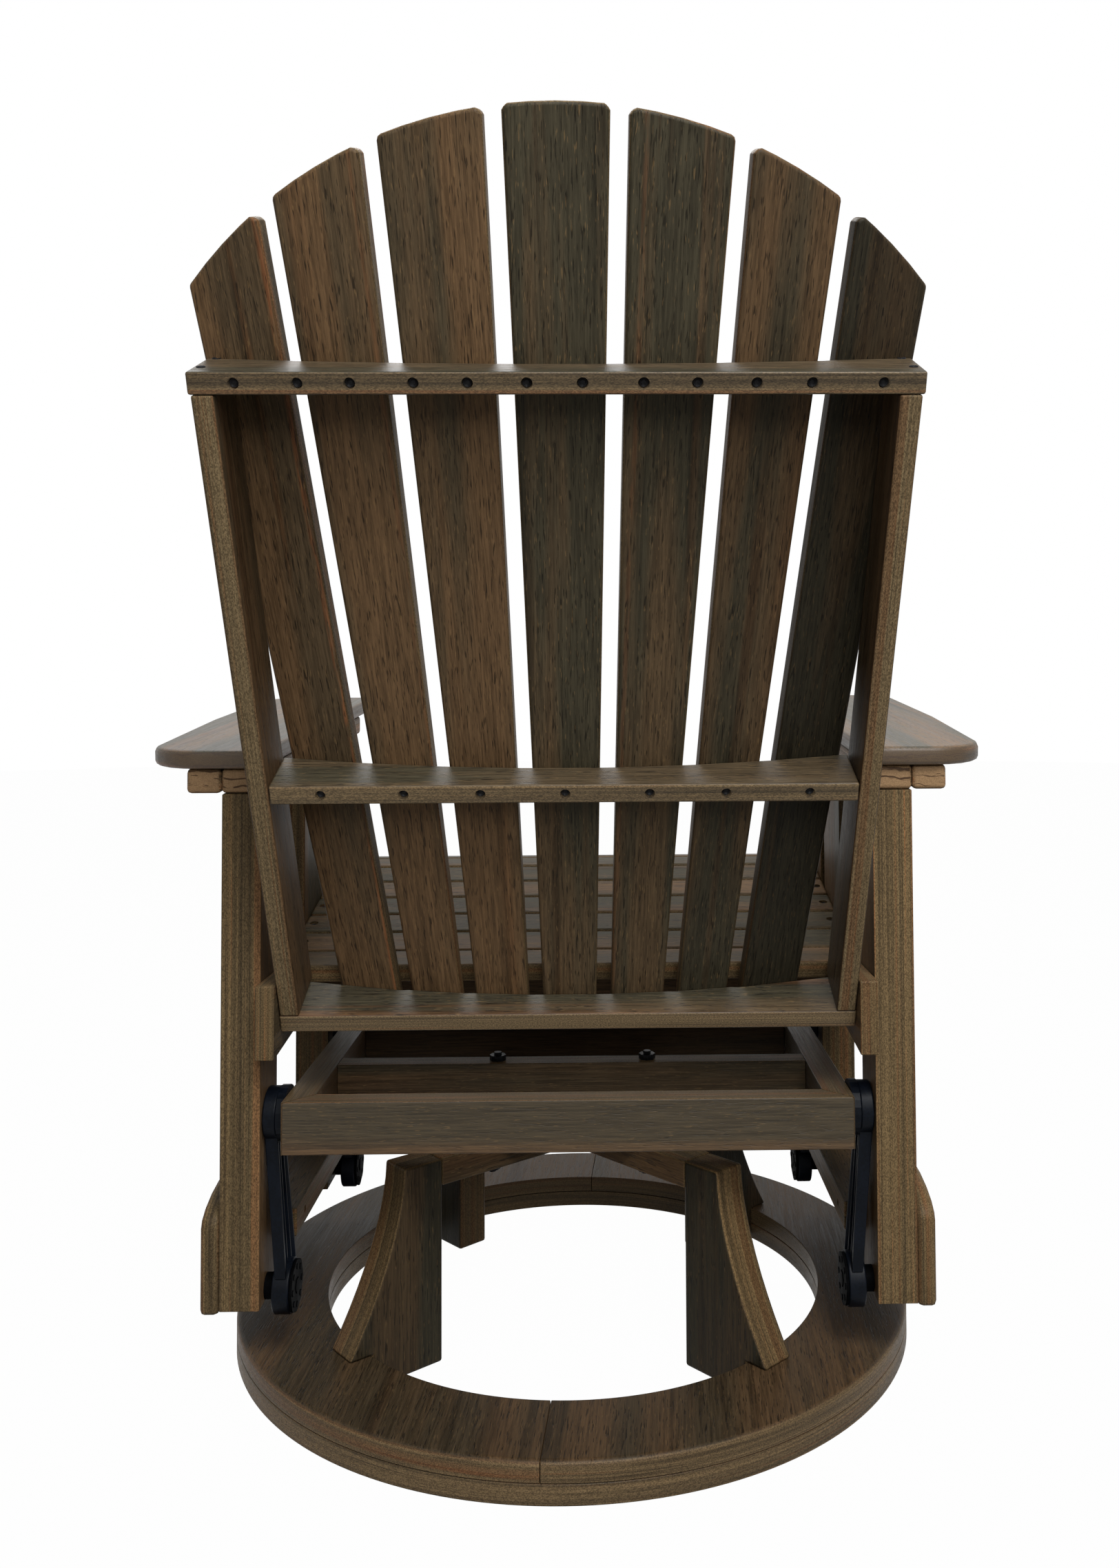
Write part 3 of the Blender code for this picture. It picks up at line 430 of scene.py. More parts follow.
black_nylon = plain_finish("black_nylon", colour(4, 7, 12), colour(9, 13, 20), 0.36, 0.48)
cap_nylon = plain_finish("cap_nylon", colour(2, 2, 3), colour(5, 6, 7), 0.55, 0.70, gloss=cap_gloss)
dark_steel = plain_finish("dark_steel", colour(18, 18, 19), colour(30, 30, 32), 0.38, 0.55,
                          1.0, metal_gloss)
screw_black = plain_finish("screw_black", colour(20, 20, 21), colour(34, 34, 36), 0.3, 0.45)
bearing_bronze = plain_finish("bearing_bronze", colour(150, 120, 76), colour(172, 140, 92), 0.28, 0.4,
                              1.0, metal_gloss)
finishes = (black_nylon, cap_nylon, dark_steel, screw_black, bearing_bronze)
print("finishes:", [finish.name for finish in finishes])

# %% [markdown]
# ## Boards with eased edges
#
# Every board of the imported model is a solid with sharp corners, while the real boards
# have eased edges that catch the light. A clean copy of each board is merged, its flat
# faces are made whole again, and its sharp edges are beveled. The copy then stands for
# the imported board.

# %% Helpers for pieces
merge_distance = 0.00002
flat_angle = math.radians(0.6)


def clean_copy(node):
    """A packed board as a bmesh with whole faces."""
    shape = bmesh.new()
    shape.from_mesh(frame["nodes"][node].data)
    bmesh.ops.remove_doubles(shape, verts=shape.verts, dist=merge_distance)
    bmesh.ops.dissolve_limit(shape, angle_limit=flat_angle, verts=shape.verts, edges=shape.edges)
    return shape


def ease(shape, width, segments=2, over=40.0, chosen=None):
    """Bevel the sharp edges, or only the chosen ones."""
    sharp = [edge for edge in shape.edges if edge.is_manifold
             and edge.calc_face_angle() > math.radians(over) and (chosen is None or chosen(edge))]
    bmesh.ops.bevel(shape, geom=sharp, offset=width, offset_type="OFFSET", segments=segments,
                    profile=0.5, affect="EDGES", clamp_overlap=True, material=-1)


def add_piece(name, shape, body, material, slot, stands_for=()):
    """Make an object of one material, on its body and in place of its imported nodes."""
    bmesh.ops.recalc_face_normals(shape, faces=shape.faces)
    mesh = bpy.data.meshes.new(name)
    shape.to_mesh(mesh)
    shape.free()
    mesh.materials.clear()  # gives every face the first slot
    mesh.materials.append(material)
    piece = bpy.data.objects.new(name, mesh)
    bpy.context.scene.collection.objects.link(piece)
    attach(piece, body)
    if stands_for:
        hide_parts(*stands_for)
    return piece


def smooth(piece, angle=50.0):
    """Shade smooth, with flat faces kept flat by weighted normals."""
    piece.data.shade_smooth()
    piece.data.set_sharp_from_angle(angle=math.radians(angle))
    weighted = piece.modifiers.new("weighted_normals", "WEIGHTED_NORMAL")
    weighted.keep_sharp = True
    return piece


# %% Directions of the boards
back_lean = 0.41
lean_up = Vector((0, math.sin(back_lean), math.cos(back_lean)))
lean_out = Vector((0, -math.cos(back_lean), math.sin(back_lean)))
arm_line = Vector((0, -1, 0.0875)).normalized()
arm_normal = X.cross(arm_line).normalized()
upright_slant = 0.023
base_turn = math.radians(-3.4)
beam_spread = math.radians(43.5)


def beam_line(end, side):
    spread = beam_spread if side == "left" else math.pi - beam_spread
    angle = base_turn + (spread if end == "rear" else -spread)
    return Vector((math.cos(angle), math.sin(angle), 0))


# Each row: node, body, slot, grain, thickness, green share, tone (painted shade on some boards), rust, bevel
boards = []
for side, way in sides.items():
    boards += [
        (f"rear_leg_{side}", "seat", "board_green_brown", Z, X, 0.30, 1.02, 0.30, 0.0020),
        (f"front_leg_{side}", "seat", "board_green_brown", Z, X, 0.45, 0.90, 0.30, 0.0020),
        (f"side_post_{side}", "seat", "board_green_brown", Z, X, 0.45, 0.80, 0.25, 0.0020),
        (f"lower_side_rail_{side}", "seat", "board_brown", Y, X, 0.25, 1.00, 0.30, 0.0050),
        (f"lower_stretcher_{side}", "seat", "board_brown", Y, Z, 0.35, 0.96, 0.25, 0.0020),
        (f"seat_stringer_{side}", "seat", "board_brown", Y, X, 0.35, 0.82, 0.20, 0.0015),
        # The uprights' low tone is painted shade on their broad faces; their lighter edge colour keeps the
        # back edges unshaded
        (f"back_upright_{side}", "seat", "board_brown", lean_up + X * way * upright_slant, X,
         0.30, 0.58, 0.20, 0.0018),
        (f"arm_{side}", "seat", "board_green_brown", arm_line, arm_normal, 0.60, 1.05, 0.25, 0.0045),
        (f"box_side_rail_{side}", "glider_box", "board_brown", Y, X, 0.38, 0.62, 0.05, 0.0014),
    ]
    for end in ends:
        line = beam_line(end, side)
        # The base legs' low tone is painted shade, as they stand under the box; their lighter edge colour
        # keeps their edges unshaded
        boards.append((f"base_leg_{end}_{side}", "base", "board_brown", Z, Z.cross(line),
                       0.80, 0.46, 0.10, 0.0028))
beam_left, beam_right = beam_line("rear", "left"), beam_line("rear", "right")
boards += [
    ("box_rear_rail", "glider_box", "board_brown", X, Y, 0.38, 0.68, 0.0, 0.0014),
    # The front box rail and front cross rail have low tones that are painted shade: the deep shade inside
    # the box under the seat
    ("box_front_rail", "glider_box", "board_brown", X, Y, 0.38, 0.48, 0.0, 0.0014),
    ("box_rear_cross_rail", "glider_box", "board_brown", X, Y, 0.38, 0.68, 0.0, 0.0014),
    ("box_front_cross_rail", "glider_box", "board_brown", X, Y, 0.38, 0.34, 0.0, 0.0014),
    ("cross_beam_lower", "base", "board_brown", beam_left, Z.cross(beam_left), 0.5, 0.9, 0.1, 0.0014),
    ("cross_beam_upper", "base", "board_brown", beam_right, Z.cross(beam_right), 0.5, 0.9, 0.1, 0.0014),
    ("back_bottom_rail", "seat", "board_brown", X, lean_up, 0.88, 0.90, 0.40, 0.0018),
]

# Base legs and uprights get painted shade through a low tone, and lighter edge colours keep their edges
# unshaded; rails shine a little, and the worn arms shine most
edge_of_painted_shade_legs = colour(132, 108, 74)
rail_edge = colour(104, 87, 62)
upright_edge = colour(122, 104, 76)
arm_edge = colour(66, 51, 33)
rail_gloss = 0.20
arm_gloss = 0.42
box_ticks = 0.25
special_looks = {
    "base_leg_front": (edge_of_painted_shade_legs, board_gloss),
    "base_leg_rear": (edge_of_painted_shade_legs, board_gloss),
    "back_upright": (upright_edge, board_gloss),
    "back_bottom": (rail_edge, rail_gloss),
    "box_rear": (board_edge, rail_gloss),
    "box_side_rail": (board_edge, rail_gloss),
    "arm": (arm_edge, arm_gloss),
}

# %% Ease and finish the plain boards
for row in boards:
    node, body, slot, grain, thickness, green, tone_and_shade, rust, width = row
    shape = clean_copy(node)
    ease(shape, width)
    edge, gloss = special_looks.get(node.rsplit("_", 1)[0], (board_edge, board_gloss))
    material = lumber(f"{node}_lumber", grain, thickness, middle_of(shape), green, tone_and_shade, rust, edge,
                      gloss=gloss, sawn=1.0 if node.startswith("arm") else 0.0,
                      ticks=box_ticks if body == "glider_box" else board_ticks)
    smooth(add_piece(f"{node}_board", shape, body, material, slot, (node,)))
print(len(boards), "boards eased")

# %% [markdown]
# ## The fan of back slats
#
# Seven slats widen towards the top. Their edges are rounded over on both faces. Each slat
# has its own mix of brown and green, and its grain follows its own slant.

# %% Back slats
slat_round = 0.0036

# Each row: name, slant, green share, tone (painted shade on the right outer slat), rust, stripe (strength,
# place across the slat)
slats = [
    ("left_outer", 0.099, 0.22, 0.84, 0.40, (0.55, 0.0290)),
    ("left_middle", 0.074, 0.26, 0.89, 0.12, (0.2, 0.0325)),
    ("left_inner", 0.0375, 0.40, 0.85, 0.18, (0.0, 0.0)),
    ("centre", 0.0, 0.74, 0.84, 0.10, (0.0, 0.0)),
    ("right_inner", -0.0375, 0.78, 0.80, 0.20, (0.2, -0.0340)),
    ("right_middle", -0.074, 0.50, 0.67, 0.15, (0.0, 0.0)),
    # The right outer slat's low tone is painted shade, cast on it by the right upright
    ("right_outer", -0.099, 0.78, 0.38, 0.10, (0.0, 0.0)),
]
for name, slant, green, tone_and_shade, rust, stripe in slats:
    node = f"back_slat_{name}"
    shape = clean_copy(node)
    ease(shape, slat_round, segments=3)
    material = lumber(f"{node}_lumber", lean_up + X * slant, lean_out, middle_of(shape), green, tone_and_shade, rust,
                      stripe=stripe)
    smooth(add_piece(f"{node}_board", shape, "seat", material, "board_green_brown", (node,)))
print(len(slats), "back slats")

# %% [markdown]
# ## Screws in counterbored holes
#
# The back rails are screwed to the slats through round holes in their back edges. The
# holes are true cuts: a Boolean takes a set of round plugs out of the board, and a black
# screw lies at the bottom of each hole.

# %% Helpers for screws
hole_radius = 0.0047
hole_depth = 0.0060
screw_radius = 0.0041
screw_height = 0.0018
head_taper = 0.86
head_rim = 0.42
recess_share = 0.6


def plug_frame(place, into):
    return Matrix.Translation(place) @ into.to_track_quat("Z", "Y").to_matrix().to_4x4()


def sink_holes(piece, spots, radius=hole_radius, depth=hole_depth):
    """Cut a round hole at each (place, direction into the board)."""
    shape = bmesh.new()
    for place, into in spots:
        bmesh.ops.create_cone(shape, cap_ends=True, segments=20, radius1=radius, radius2=radius,
                              depth=2 * depth, matrix=plug_frame(place, into))
    mesh = bpy.data.meshes.new("plugs")
    shape.to_mesh(mesh)
    shape.free()
    plugs = bpy.data.objects.new("plugs", mesh)
    bpy.context.scene.collection.objects.link(plugs)
    cut = piece.modifiers.new("holes", "BOOLEAN")
    cut.object = plugs
    bpy.context.view_layer.update()
    whole = bpy.data.meshes.new_from_object(piece.evaluated_get(bpy.context.evaluated_depsgraph_get()))
    piece.modifiers.clear()
    piece.data = whole
    bpy.data.objects.remove(plugs, do_unlink=True)
    return piece


def add_screws(name, spots, body, depth=hole_depth, radius=screw_radius):
    """Round screw heads with a round recess, at the bottom of their holes."""
    shape = bmesh.new()
    for place, into in spots:
        head = plug_frame(place + into * (depth - screw_height / 2), -into)
        made = bmesh.ops.create_cone(shape, cap_ends=True, segments=16, radius1=radius,
                                     radius2=radius * head_taper, depth=screw_height, matrix=head)
        top = max({face for vert in made["verts"] for face in vert.link_faces},
                  key=lambda face: -face.calc_center_median().dot(into))
        bmesh.ops.inset_individual(shape, faces=[top], thickness=radius * head_rim,
                                   depth=-screw_height * recess_share)
    return add_piece(name, shape, body, screw_black, "dark_steel")


# %% [markdown]
# ## The back rails
#
# The upper rail lies across the tops of the uprights, and the middle rail sits between
# them. Their front edges follow the concave line of the slats. The outermost slats take
# one screw each from the upper rail and the others two; the middle rail has one a slat.
# The screws lie where the photograph shows them, which isn't quite even.

# %% Back rails
back_origin = swivel_axis + Vector((0, 0.208, 0.364))
board = 0.018
upper_rail_top = 0.602
middle_rail_top = 0.243
rail_ease = 0.0018
upper_xs = (-0.2547, -0.1986, -0.1551, -0.1088, -0.0667, -0.0189,
            0.0246, 0.0709, 0.1130, 0.1621, 0.2028, 0.2519)
middle_xs = (-0.2162, -0.1422, -0.0746, 0.0, 0.0746, 0.1422, 0.2149)
end_screw_x = 0.282
end_screw_depths = (0.023, 0.067)
flush_depth = screw_height * 0.55


def from_back(x, depth, height):
    return back_origin + X * x + lean_out * depth + lean_up * height


# Each row: node, places of the screws, their height, green share, tone, rust
rails = [
    ("back_upper_rail", upper_xs, upper_rail_top - board / 2, 0.92, 0.76, 0.10),
    ("back_middle_rail", middle_xs, middle_rail_top - board / 2, 0.92, 0.88, 0.10),
]
for node, spots_x, height, green, tone_and_shade, rust in rails:
    shape = clean_copy(node)
    ease(shape, rail_ease)
    material = lumber(f"{node}_lumber", X, lean_up, middle_of(shape), green, tone_and_shade, rust, rail_edge,
                      gloss=rail_gloss)
    rail = add_piece(f"{node}_board", shape, "seat", material, "board_brown", (node,))
    spots = [(from_back(x, 0, height), lean_out) for x in spots_x]
    smooth(sink_holes(rail, spots))
    add_screws(f"{node}_screws", spots, "seat")
    print(node, len(spots), "screws")

end_spots = [(from_back(way * end_screw_x, depth, upper_rail_top), -lean_up)
             for way in sides.values() for depth in end_screw_depths]
add_screws("upper_rail_end_screws", end_spots, "seat", depth=flush_depth)

# %% [markdown]
# ## The seat slats
#
# Ten slats follow the seat from its low back to its rolled front, with narrow gaps for
# the rain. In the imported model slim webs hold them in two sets. Here each slat is a board
# of its own with rounded upper edges and a screw near each end.

# %% Seat slats
seat_back = swivel_axis.y + 0.138
seat_back_height = 0.379
seat_slat_width = 0.044
seat_slat_gap = 0.004
seat_half_length = 0.2917
seat_round = 0.0030
seat_screw_x = 0.282
seat_hole_depth = 0.004
rear_slats = 6
seat_tilts = [7.6] + [13.4] * 5 + [4.4, -4.6, -13.6, -22.6]
seat_greens = (0.35, 0.6, 0.45, 0.7)
seat_tone = 1.04
seat_rust = 0.15


def make_board(size, turn, middle, rounding, segments):
    """A cube that is stretched to a board, eased, turned and moved to its place."""
    shape = bmesh.new()
    bmesh.ops.create_cube(shape, size=1.0)
    bmesh.ops.scale(shape, vec=size, verts=shape.verts)
    ease(shape, rounding, segments)
    bmesh.ops.rotate(shape, cent=(0, 0, 0), matrix=turn, verts=shape.verts)
    bmesh.ops.translate(shape, vec=middle, verts=shape.verts)
    return shape


def seat_slat_starts():
    """Each slat's rear lower corner, its direction forwards and its upward normal."""
    corner = Vector((0, seat_back, seat_back_height))
    for tilt in seat_tilts:
        turn = math.radians(tilt)
        along = Vector((0, -math.cos(turn), math.sin(turn)))
        yield corner.copy(), along, Vector((0, math.sin(turn), math.cos(turn)))
        corner += along * (seat_slat_width + seat_slat_gap)


seat_screw_spots = []
for number, (corner, along, out) in enumerate(seat_slat_starts()):
    middle = corner + along * (seat_slat_gap + seat_slat_width) / 2 + out * board / 2
    turn = Matrix((X, -along, out)).transposed()
    shape = make_board((2 * seat_half_length, seat_slat_width, board), turn, middle, seat_round, 3)
    node = f"seat_slat_{number + 1}"
    green = seat_greens[number % len(seat_greens)]
    material = lumber(f"{node}_lumber", X, out, middle, green, seat_tone, seat_rust)
    stands_for = ("seat_slats",) if number < rear_slats else ("seat_front_slats",)
    slat = add_piece(node, shape, "seat", material, "board_green_brown", stands_for)
    spots = [(middle + out * board / 2 + X * way * seat_screw_x, -out) for way in sides.values()]
    smooth(sink_holes(slat, spots, depth=seat_hole_depth))
    seat_screw_spots += spots
add_screws("seat_screws", seat_screw_spots, "seat", depth=seat_hole_depth)

# A cross board on edge below the second slat ties the stringers; its low tone is painted shade, the deep
# shade under the seat
cleat_half_length = 0.2733
cleat_depth = 0.0400
cleat_inset = 0.0120
cleat_ease = 0.0015
corner, along, out = list(seat_slat_starts())[1]
turn = Matrix((X, -along, out)).transposed()
middle = corner + along * (cleat_inset + board / 2) - out * (cleat_depth / 2)
shape = make_board((2 * cleat_half_length, board, cleat_depth), turn, middle, cleat_ease, 2)
material = lumber("seat_cleat_lumber", X, along, middle, green=0.4, tone_and_shade=0.5, rust=0.0)
smooth(add_piece("seat_cleat", shape, "seat", material, "board_green_brown", ("seat_slats",)))
print(len(seat_screw_spots), "seat screws")

# %% [markdown]
# ## The boards under the arms
#
# Two boards lie side by side under each arm: a wide one over the legs and a narrower one
# outside it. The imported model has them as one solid, so the copy is cut in two along the
# joint, and each half is closed and eased.

# %% Under-arm boards
arm_board_joint = 0.331
joint_gap = 0.0003
under_arm_round = 0.0045
under_arm_tone = 1.40
under_arm_rust = 0.5
under_arm_edge = colour(108, 86, 62)
for side, way in sides.items():
    node = f"under_arm_rail_{side}"
    for name, outward, green in (("inner", 1, 0.35), ("outer", -1, 0.2)):
        shape = clean_copy(node)
        plane = X * way * (arm_board_joint - outward * joint_gap / 2)
        cut = bmesh.ops.bisect_plane(shape, geom=shape.verts[:] + shape.edges[:] + shape.faces[:],
                                     plane_co=plane, plane_no=X * way * outward, clear_outer=True)
        open_edges = [item for item in cut["geom_cut"] if isinstance(item, bmesh.types.BMEdge)]
        bmesh.ops.holes_fill(shape, edges=open_edges)
        ease(shape, under_arm_round, segments=3)
        material = lumber(f"{node}_{name}_lumber", arm_line, arm_normal, middle_of(shape), green,
                          under_arm_tone, under_arm_rust, edge=under_arm_edge, sawn=1.0)
        smooth(add_piece(f"{node}_{name}", shape, "seat", material, "board_brown", (node,)))
print("under-arm boards cut apart at", arm_board_joint)

# %% [markdown]
# ## The ring
#
# The ring is cut from two layers of board. The upper layer is in halves whose joints lie
# at the front and the back, and its outer edge is rounded over. The grain of both layers
# runs from front to back, so it meets the rim at every angle, and the rim shows the
# layers' long lines. Each part is a rectangle spun round the axis.

# %% Ring layers
ring_radius = 0.356
ring_hole = 0.264
ring_seam = 0.0004
ring_gap = 0.0003
ring_round = 0.0050
lower_round = 0.0012
ring_ease = 0.0009
ring_steps = 96
ring_grain = Matrix.Rotation(base_turn, 3, "Z") @ Y
# The ring's low tones are painted shade, the chair's shadow on the ring's top; the lighter rim colour keeps
# the rim unshaded
ring_edge = colour(118, 98, 70)
ring_gloss = 0.11
lower_tone = 0.60
upper_tone = 0.54


def spin_ring(low, high, start, angle):
    """Spin the ring's section about the swivel axis, from one angle and through another."""
    shape = bmesh.new()
    corners = [(ring_hole, low), (ring_radius, low), (ring_radius, high), (ring_hole, high)]
    section = [shape.verts.new((radius, 0, height)) for radius, height in corners]
    face = shape.faces.new(section)
    bmesh.ops.rotate(shape, cent=(0, 0, 0), matrix=Matrix.Rotation(start, 3, "Z"), verts=shape.verts)
    full = angle > math.pi * 1.5
    geometry = list(face.edges) + section if full else [face] + list(face.edges) + section
    bmesh.ops.spin(shape, geom=geometry, cent=(0, 0, 0), axis=(0, 0, 1), angle=angle,
                   steps=2 * ring_steps if full else ring_steps, use_merge=full)
    if full:
        bmesh.ops.delete(shape, geom=[face], context="FACES_ONLY")
    bmesh.ops.remove_doubles(shape, verts=shape.verts, dist=merge_distance)
    bmesh.ops.recalc_face_normals(shape, faces=shape.faces)
    return shape


def on_outer_top(edge, height):
    """Whether an edge lies on the upper outer rim."""
    return all(abs(vert.co.z - height) < merge_distance
               and abs(vert.co.xy.length - ring_radius) < 5 * merge_distance for vert in edge.verts)


def finish_ring(name, shape, top, tone_and_shade, stands_for):
    ease(shape, ring_round if top > board + ring_gap else lower_round, segments=4,
         chosen=lambda edge: on_outer_top(edge, top))
    ease(shape, ring_ease, segments=2, over=60)
    bmesh.ops.translate(shape, vec=swivel_axis, verts=shape.verts)
    material = lumber(f"{name}_lumber", ring_grain, Z, middle_of(shape), green=0.30, tone_and_shade=tone_and_shade,
                      rust=0.05, edge=ring_edge, gloss=ring_gloss)
    return smooth(add_piece(name, shape, "base", material, "board_brown", stands_for))


lower_shape = spin_ring(0.0, board, 0.0, math.tau)
finish_ring("ring_lower_board", lower_shape, board, lower_tone, ("ring_lower_layer",))
ring_top = 2 * board + ring_gap
seam_angle = math.asin(ring_seam / 2 / ring_hole)
for side, middle in (("left", base_turn), ("right", base_turn + math.pi)):
    start = middle - math.pi / 2 + seam_angle
    shape = spin_ring(board + ring_gap, ring_top, start, math.pi - 2 * seam_angle)
    finish_ring(f"ring_upper_{side}_board", shape, ring_top, upper_tone, (f"ring_upper_{side}",))
print("ring top at", round(ring_top, 4))

# %% [markdown]
# ## The swing links
#
# Each link is one moulding: two round bosses of one size and a flat arm between them,
# which leans outwards as it rises and is deeper at its foot. Ribs run along both edges of
# the arm and in the hollow between them. The arm starts as a cube that is stretched,
# tapered and sheared, and its hollows are inset faces that are pushed in.

# %% Swing link mouldings
upper_boss = {"inner": 0.2783, "width": 0.0125, "radius": 0.0250}
lower_boss = {"inner": 0.2653, "width": 0.0163, "radius": 0.0250}
boss_round = 0.0016
link_length = 0.164
arm_ease = 0.0010
rib_width = 0.0045
hollow_slope = 0.0006
hollow_depth = 0.0034

# Pairs: the measure at the arm's foot and the one at its head
arm_widths = (0.0106, 0.0123)
arm_depths = (0.0440, 0.0300)
inner_rib_widths = [width - 0.0016 for width in arm_widths]
inner_rib_depths = (0.0020, 0.0018)

# Shares: of a boss's radius, where the arm starts, and of the arm's depth, where ribs stand
arm_start = 0.6
inner_rib_places = (-0.16, 0.16)


def add_round(shape, segments, radii, depth, place=(0, 0, 0)):
    """A short cone or cylinder along x."""
    matrix = Matrix.Translation(place) @ Matrix.Rotation(math.pi / 2, 4, "Y")
    return bmesh.ops.create_cone(shape, cap_ends=True, segments=segments, radius1=radii[0],
                                 radius2=radii[1], depth=depth, matrix=matrix)["verts"]


def add_boss(shape, inner, width, radius, height):
    """A disc along x whose rims are rounded."""
    loose = bmesh.new()
    add_round(loose, 48, (radius, radius), width, (inner + width / 2, 0, height))
    ease(loose, boss_round, segments=3)
    mesh = bpy.data.meshes.new("boss")
    loose.to_mesh(mesh)
    loose.free()
    shape.from_mesh(mesh)
    bpy.data.meshes.remove(mesh)


def add_arm(shape, widths, depths):
    """A tapered bar between the bosses, sheared so that it leans outwards as it rises."""
    low = -link_length + lower_boss["radius"] * arm_start
    high = -upper_boss["radius"] * arm_start
    made = bmesh.ops.create_cube(shape, size=1.0)["verts"]
    low_middle = lower_boss["inner"] + lower_boss["width"] / 2
    high_middle = upper_boss["inner"] + upper_boss["width"] / 2
    for vert in made:
        top = vert.co.z > 0
        vert.co.x = (high_middle if top else low_middle) + vert.co.x * widths[top]
        vert.co.y *= depths[top]
        vert.co.z = high if top else low
    return made


def make_link():
    """The link of the left side, with its upper pivot at the height of zero."""
    shape = bmesh.new()
    add_arm(shape, arm_widths, arm_depths)
    broad = [face for face in shape.faces if abs(face.normal.x) > 0.8]
    bmesh.ops.inset_individual(shape, faces=broad, thickness=rib_width, use_even_offset=True)
    bmesh.ops.inset_individual(shape, faces=broad, thickness=hollow_slope, depth=-hollow_depth,
                               use_even_offset=True)
    ease(shape, arm_ease, segments=2)
    for share in inner_rib_places:
        for vert in add_arm(shape, inner_rib_widths, inner_rib_depths):
            vert.co.y += share * arm_depths[vert.co.z > -link_length / 2]
    add_boss(shape, **upper_boss, height=0.0)
    add_boss(shape, **lower_boss, height=-link_length)
    bmesh.ops.remove_doubles(shape, verts=shape.verts, dist=merge_distance)
    return shape


for side, way in sides.items():
    for end, y in ends.items():
        shape = make_link()
        if way < 0:
            bmesh.ops.scale(shape, vec=(-1, 1, 1), verts=shape.verts)
        bmesh.ops.translate(shape, vec=(0, y, joint_at["glide"].z), verts=shape.verts)
        node = f"swing_link_{end}_{side}"
        link = add_piece(f"{node}_moulding", shape, f"{end}_{side}_link", black_nylon, "black_nylon",
                         (node,))
        smooth(link, angle=35)
print("link moulding:", link_length, "m between pivots")

# %% [markdown]
# ## The pivots
#
# At its upper pivot a link turns on an axle behind a plain disc. At the lower pivot a
# lobed cap clamps it: a disc with a scalloped rim, a ring of small bosses and a bolt in
# the middle, with an axle through the link and a spacer between the link and the leg.

# %% Lower pivot caps
cap_radius = 0.0246
cap_thickness = 0.0038
cap_ease = 0.0009
lobes = 8
lobe_depth = 0.05
joint_z = joint_at["seat_hang"].z

# Each layer of the cap: its thickness and its middle's distance from the boss, both as
# shares of the cap's thickness
cap_disc = (0.72, 0.40)
cap_bumps = (0.30, 0.80)
cap_bolt = (0.42, 0.76)
bump_circle = cap_radius * 0.72
bump_radii = (0.0026, 0.0034)
bolt_radius = 0.0075

# Start, stop and radius of the axle, and those of the spacer
cap_rounds = [(0.0, 0.0168, 0.0060), (0.0168, 0.0262, 0.0120)]


def make_cap():
    """Cap, axle and spacer along x, with the cap's inner face at -cap_thickness."""
    shape = bmesh.new()
    rim = add_round(shape, 12 * lobes, (cap_radius, cap_radius), cap_thickness * cap_disc[0])
    for vert in rim:
        angle = math.atan2(vert.co.z, vert.co.y)
        inward = 1 - lobe_depth * (1 - math.cos(lobes * angle)) / 2
        vert.co.y *= inward
        vert.co.z *= inward
    bmesh.ops.translate(shape, vec=(-cap_thickness * cap_disc[1], 0, 0), verts=rim)
    ease(shape, cap_ease, segments=2, over=60)
    for number in range(lobes):
        angle = math.tau * number / lobes
        y, z = bump_circle * math.cos(angle), bump_circle * math.sin(angle)
        add_round(shape, 12, bump_radii, cap_thickness * cap_bumps[0], (-cap_thickness * cap_bumps[1], y, z))
    add_round(shape, 6, (bolt_radius, bolt_radius), cap_thickness * cap_bolt[0],
              (-cap_thickness * cap_bolt[1], 0, 0))
    for start, stop, radius in cap_rounds:
        add_round(shape, 32, (radius, radius), stop - start, ((start + stop) / 2, 0, 0))
    return shape


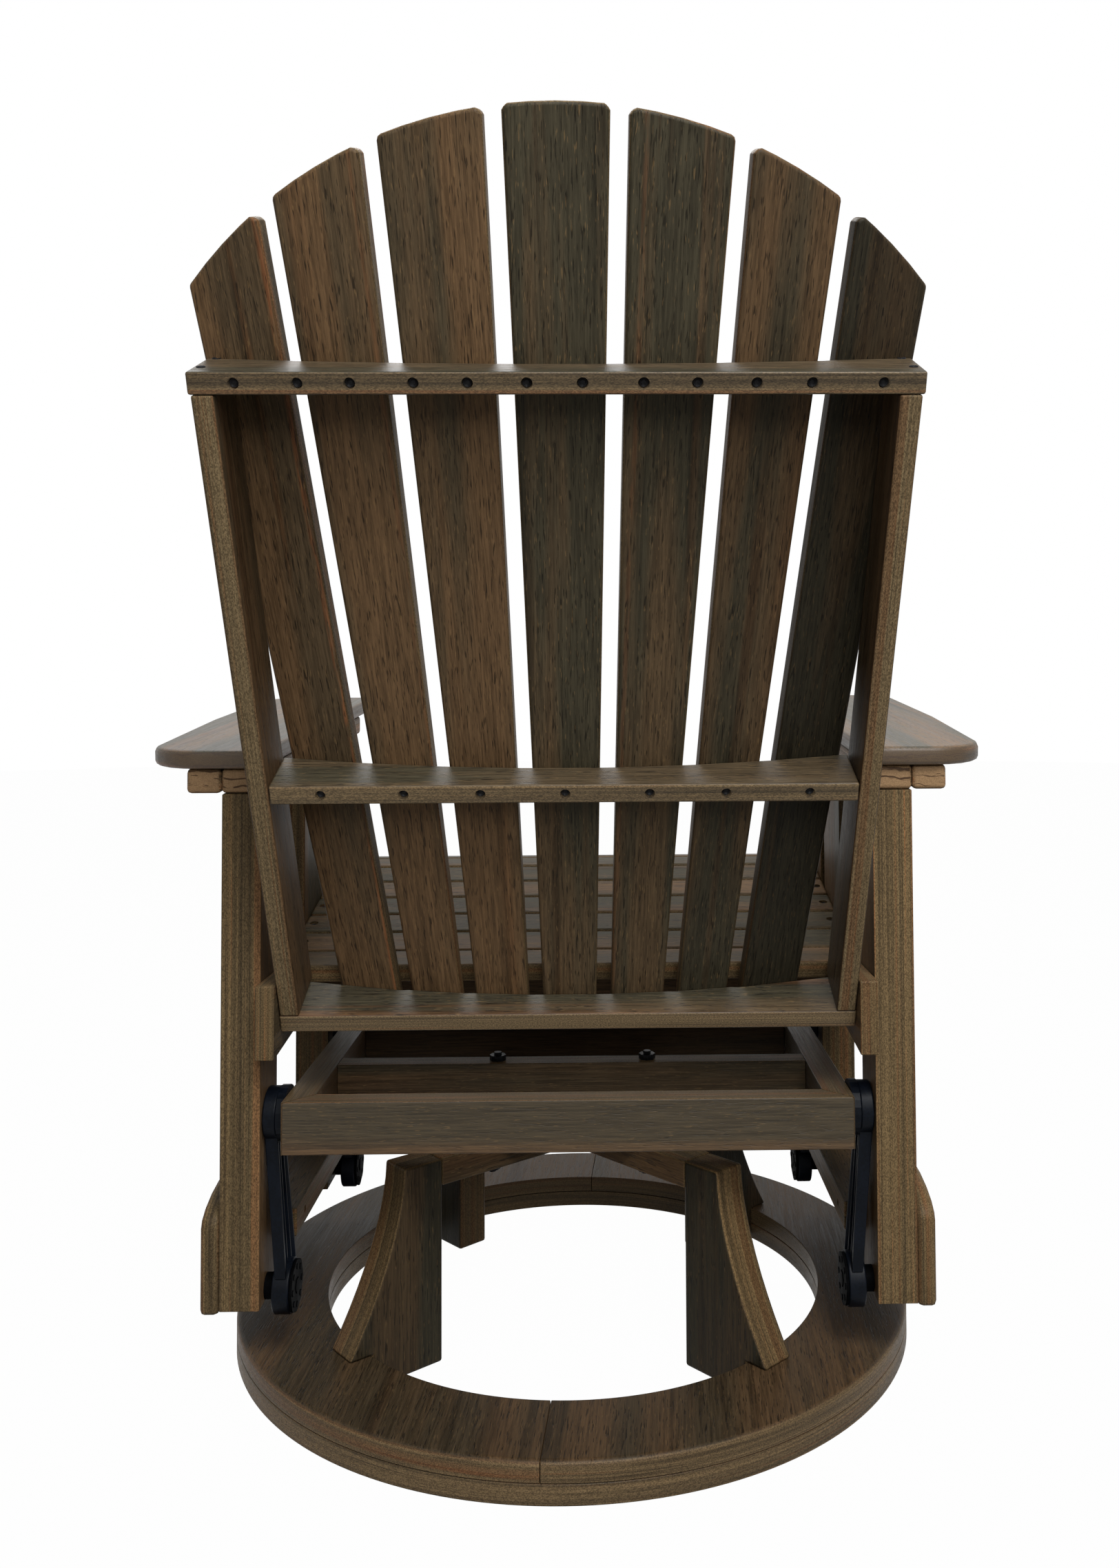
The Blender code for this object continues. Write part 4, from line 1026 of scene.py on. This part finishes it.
for side, way in sides.items():
    for end, y in ends.items():
        shape = make_cap()
        if way < 0:
            bmesh.ops.scale(shape, vec=(-1, 1, 1), verts=shape.verts)
        place = (way * lower_boss["inner"], y, joint_z)
        bmesh.ops.translate(shape, vec=place, verts=shape.verts)
        node = f"lower_pivot_{end}_{side}"
        smooth(add_piece(f"{node}_cap", shape, "seat", cap_nylon, "black_nylon", (node,)), angle=30)
print(4 * lobes, "small bosses on the caps")

# %% [markdown]
# ## Screws of the side frames
#
# Two screws show in the inner edge of each flat stretcher, and two hold each outer rail
# to each of its legs.

# %% Side frame screws
small_hole_radius = 0.0036
small_screw_radius = 0.0031

# Each set: x, places from back to front, heights
stretcher_set = (0.272, (0.105, -0.060), (0.145,))
outer_rail_set = (0.3483, (0.172, -0.127), (0.115, 0.160))


def side_spots(screw_set, outward):
    """Places of a set's screws on both sides; they point outwards (1) or inwards (-1)."""
    x, ys, heights = screw_set
    return [(Vector((way * x, swivel_axis.y + y, z)), X * way * outward)
            for way in sides.values() for y in ys for z in heights]


def sink_side_holes(board_name, spots, radius):
    for side, way in sides.items():
        piece = bpy.data.objects[f"{board_name}_{side}_board"]
        smooth(sink_holes(piece, [spot for spot in spots if spot[0].x * way > 0], radius=radius))


stretcher_spots = side_spots(stretcher_set, 1)
sink_side_holes("lower_stretcher", stretcher_spots, small_hole_radius)
add_screws("stretcher_screws", stretcher_spots, "seat", radius=small_screw_radius)
rail_spots = side_spots(outer_rail_set, -1)
sink_side_holes("lower_side_rail", rail_spots, hole_radius)
add_screws("outer_rail_screws", rail_spots, "seat")
print(len(stretcher_spots) + len(rail_spots), "side frame screws")

# %% [markdown]
# ## Swivel and upper pivots
#
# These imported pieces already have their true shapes, so they stay and only get their
# finish: steel for the swivel's plates and bolts, bronze for the bearing between them
# and nylon for the discs at the upper pivots.

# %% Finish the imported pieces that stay
stays = {"swivel_lower_plate": dark_steel, "swivel_upper_plate": dark_steel,
         "swivel_ball_cage": bearing_bronze}
for side in sides:
    for end in ends:
        stays[f"upper_pivot_{end}_{side}"] = black_nylon
for node, material in stays.items():
    packed = frame["nodes"][node]
    for holder in packed.material_slots:
        holder.material = material
print("packed pieces kept:", len(stays))
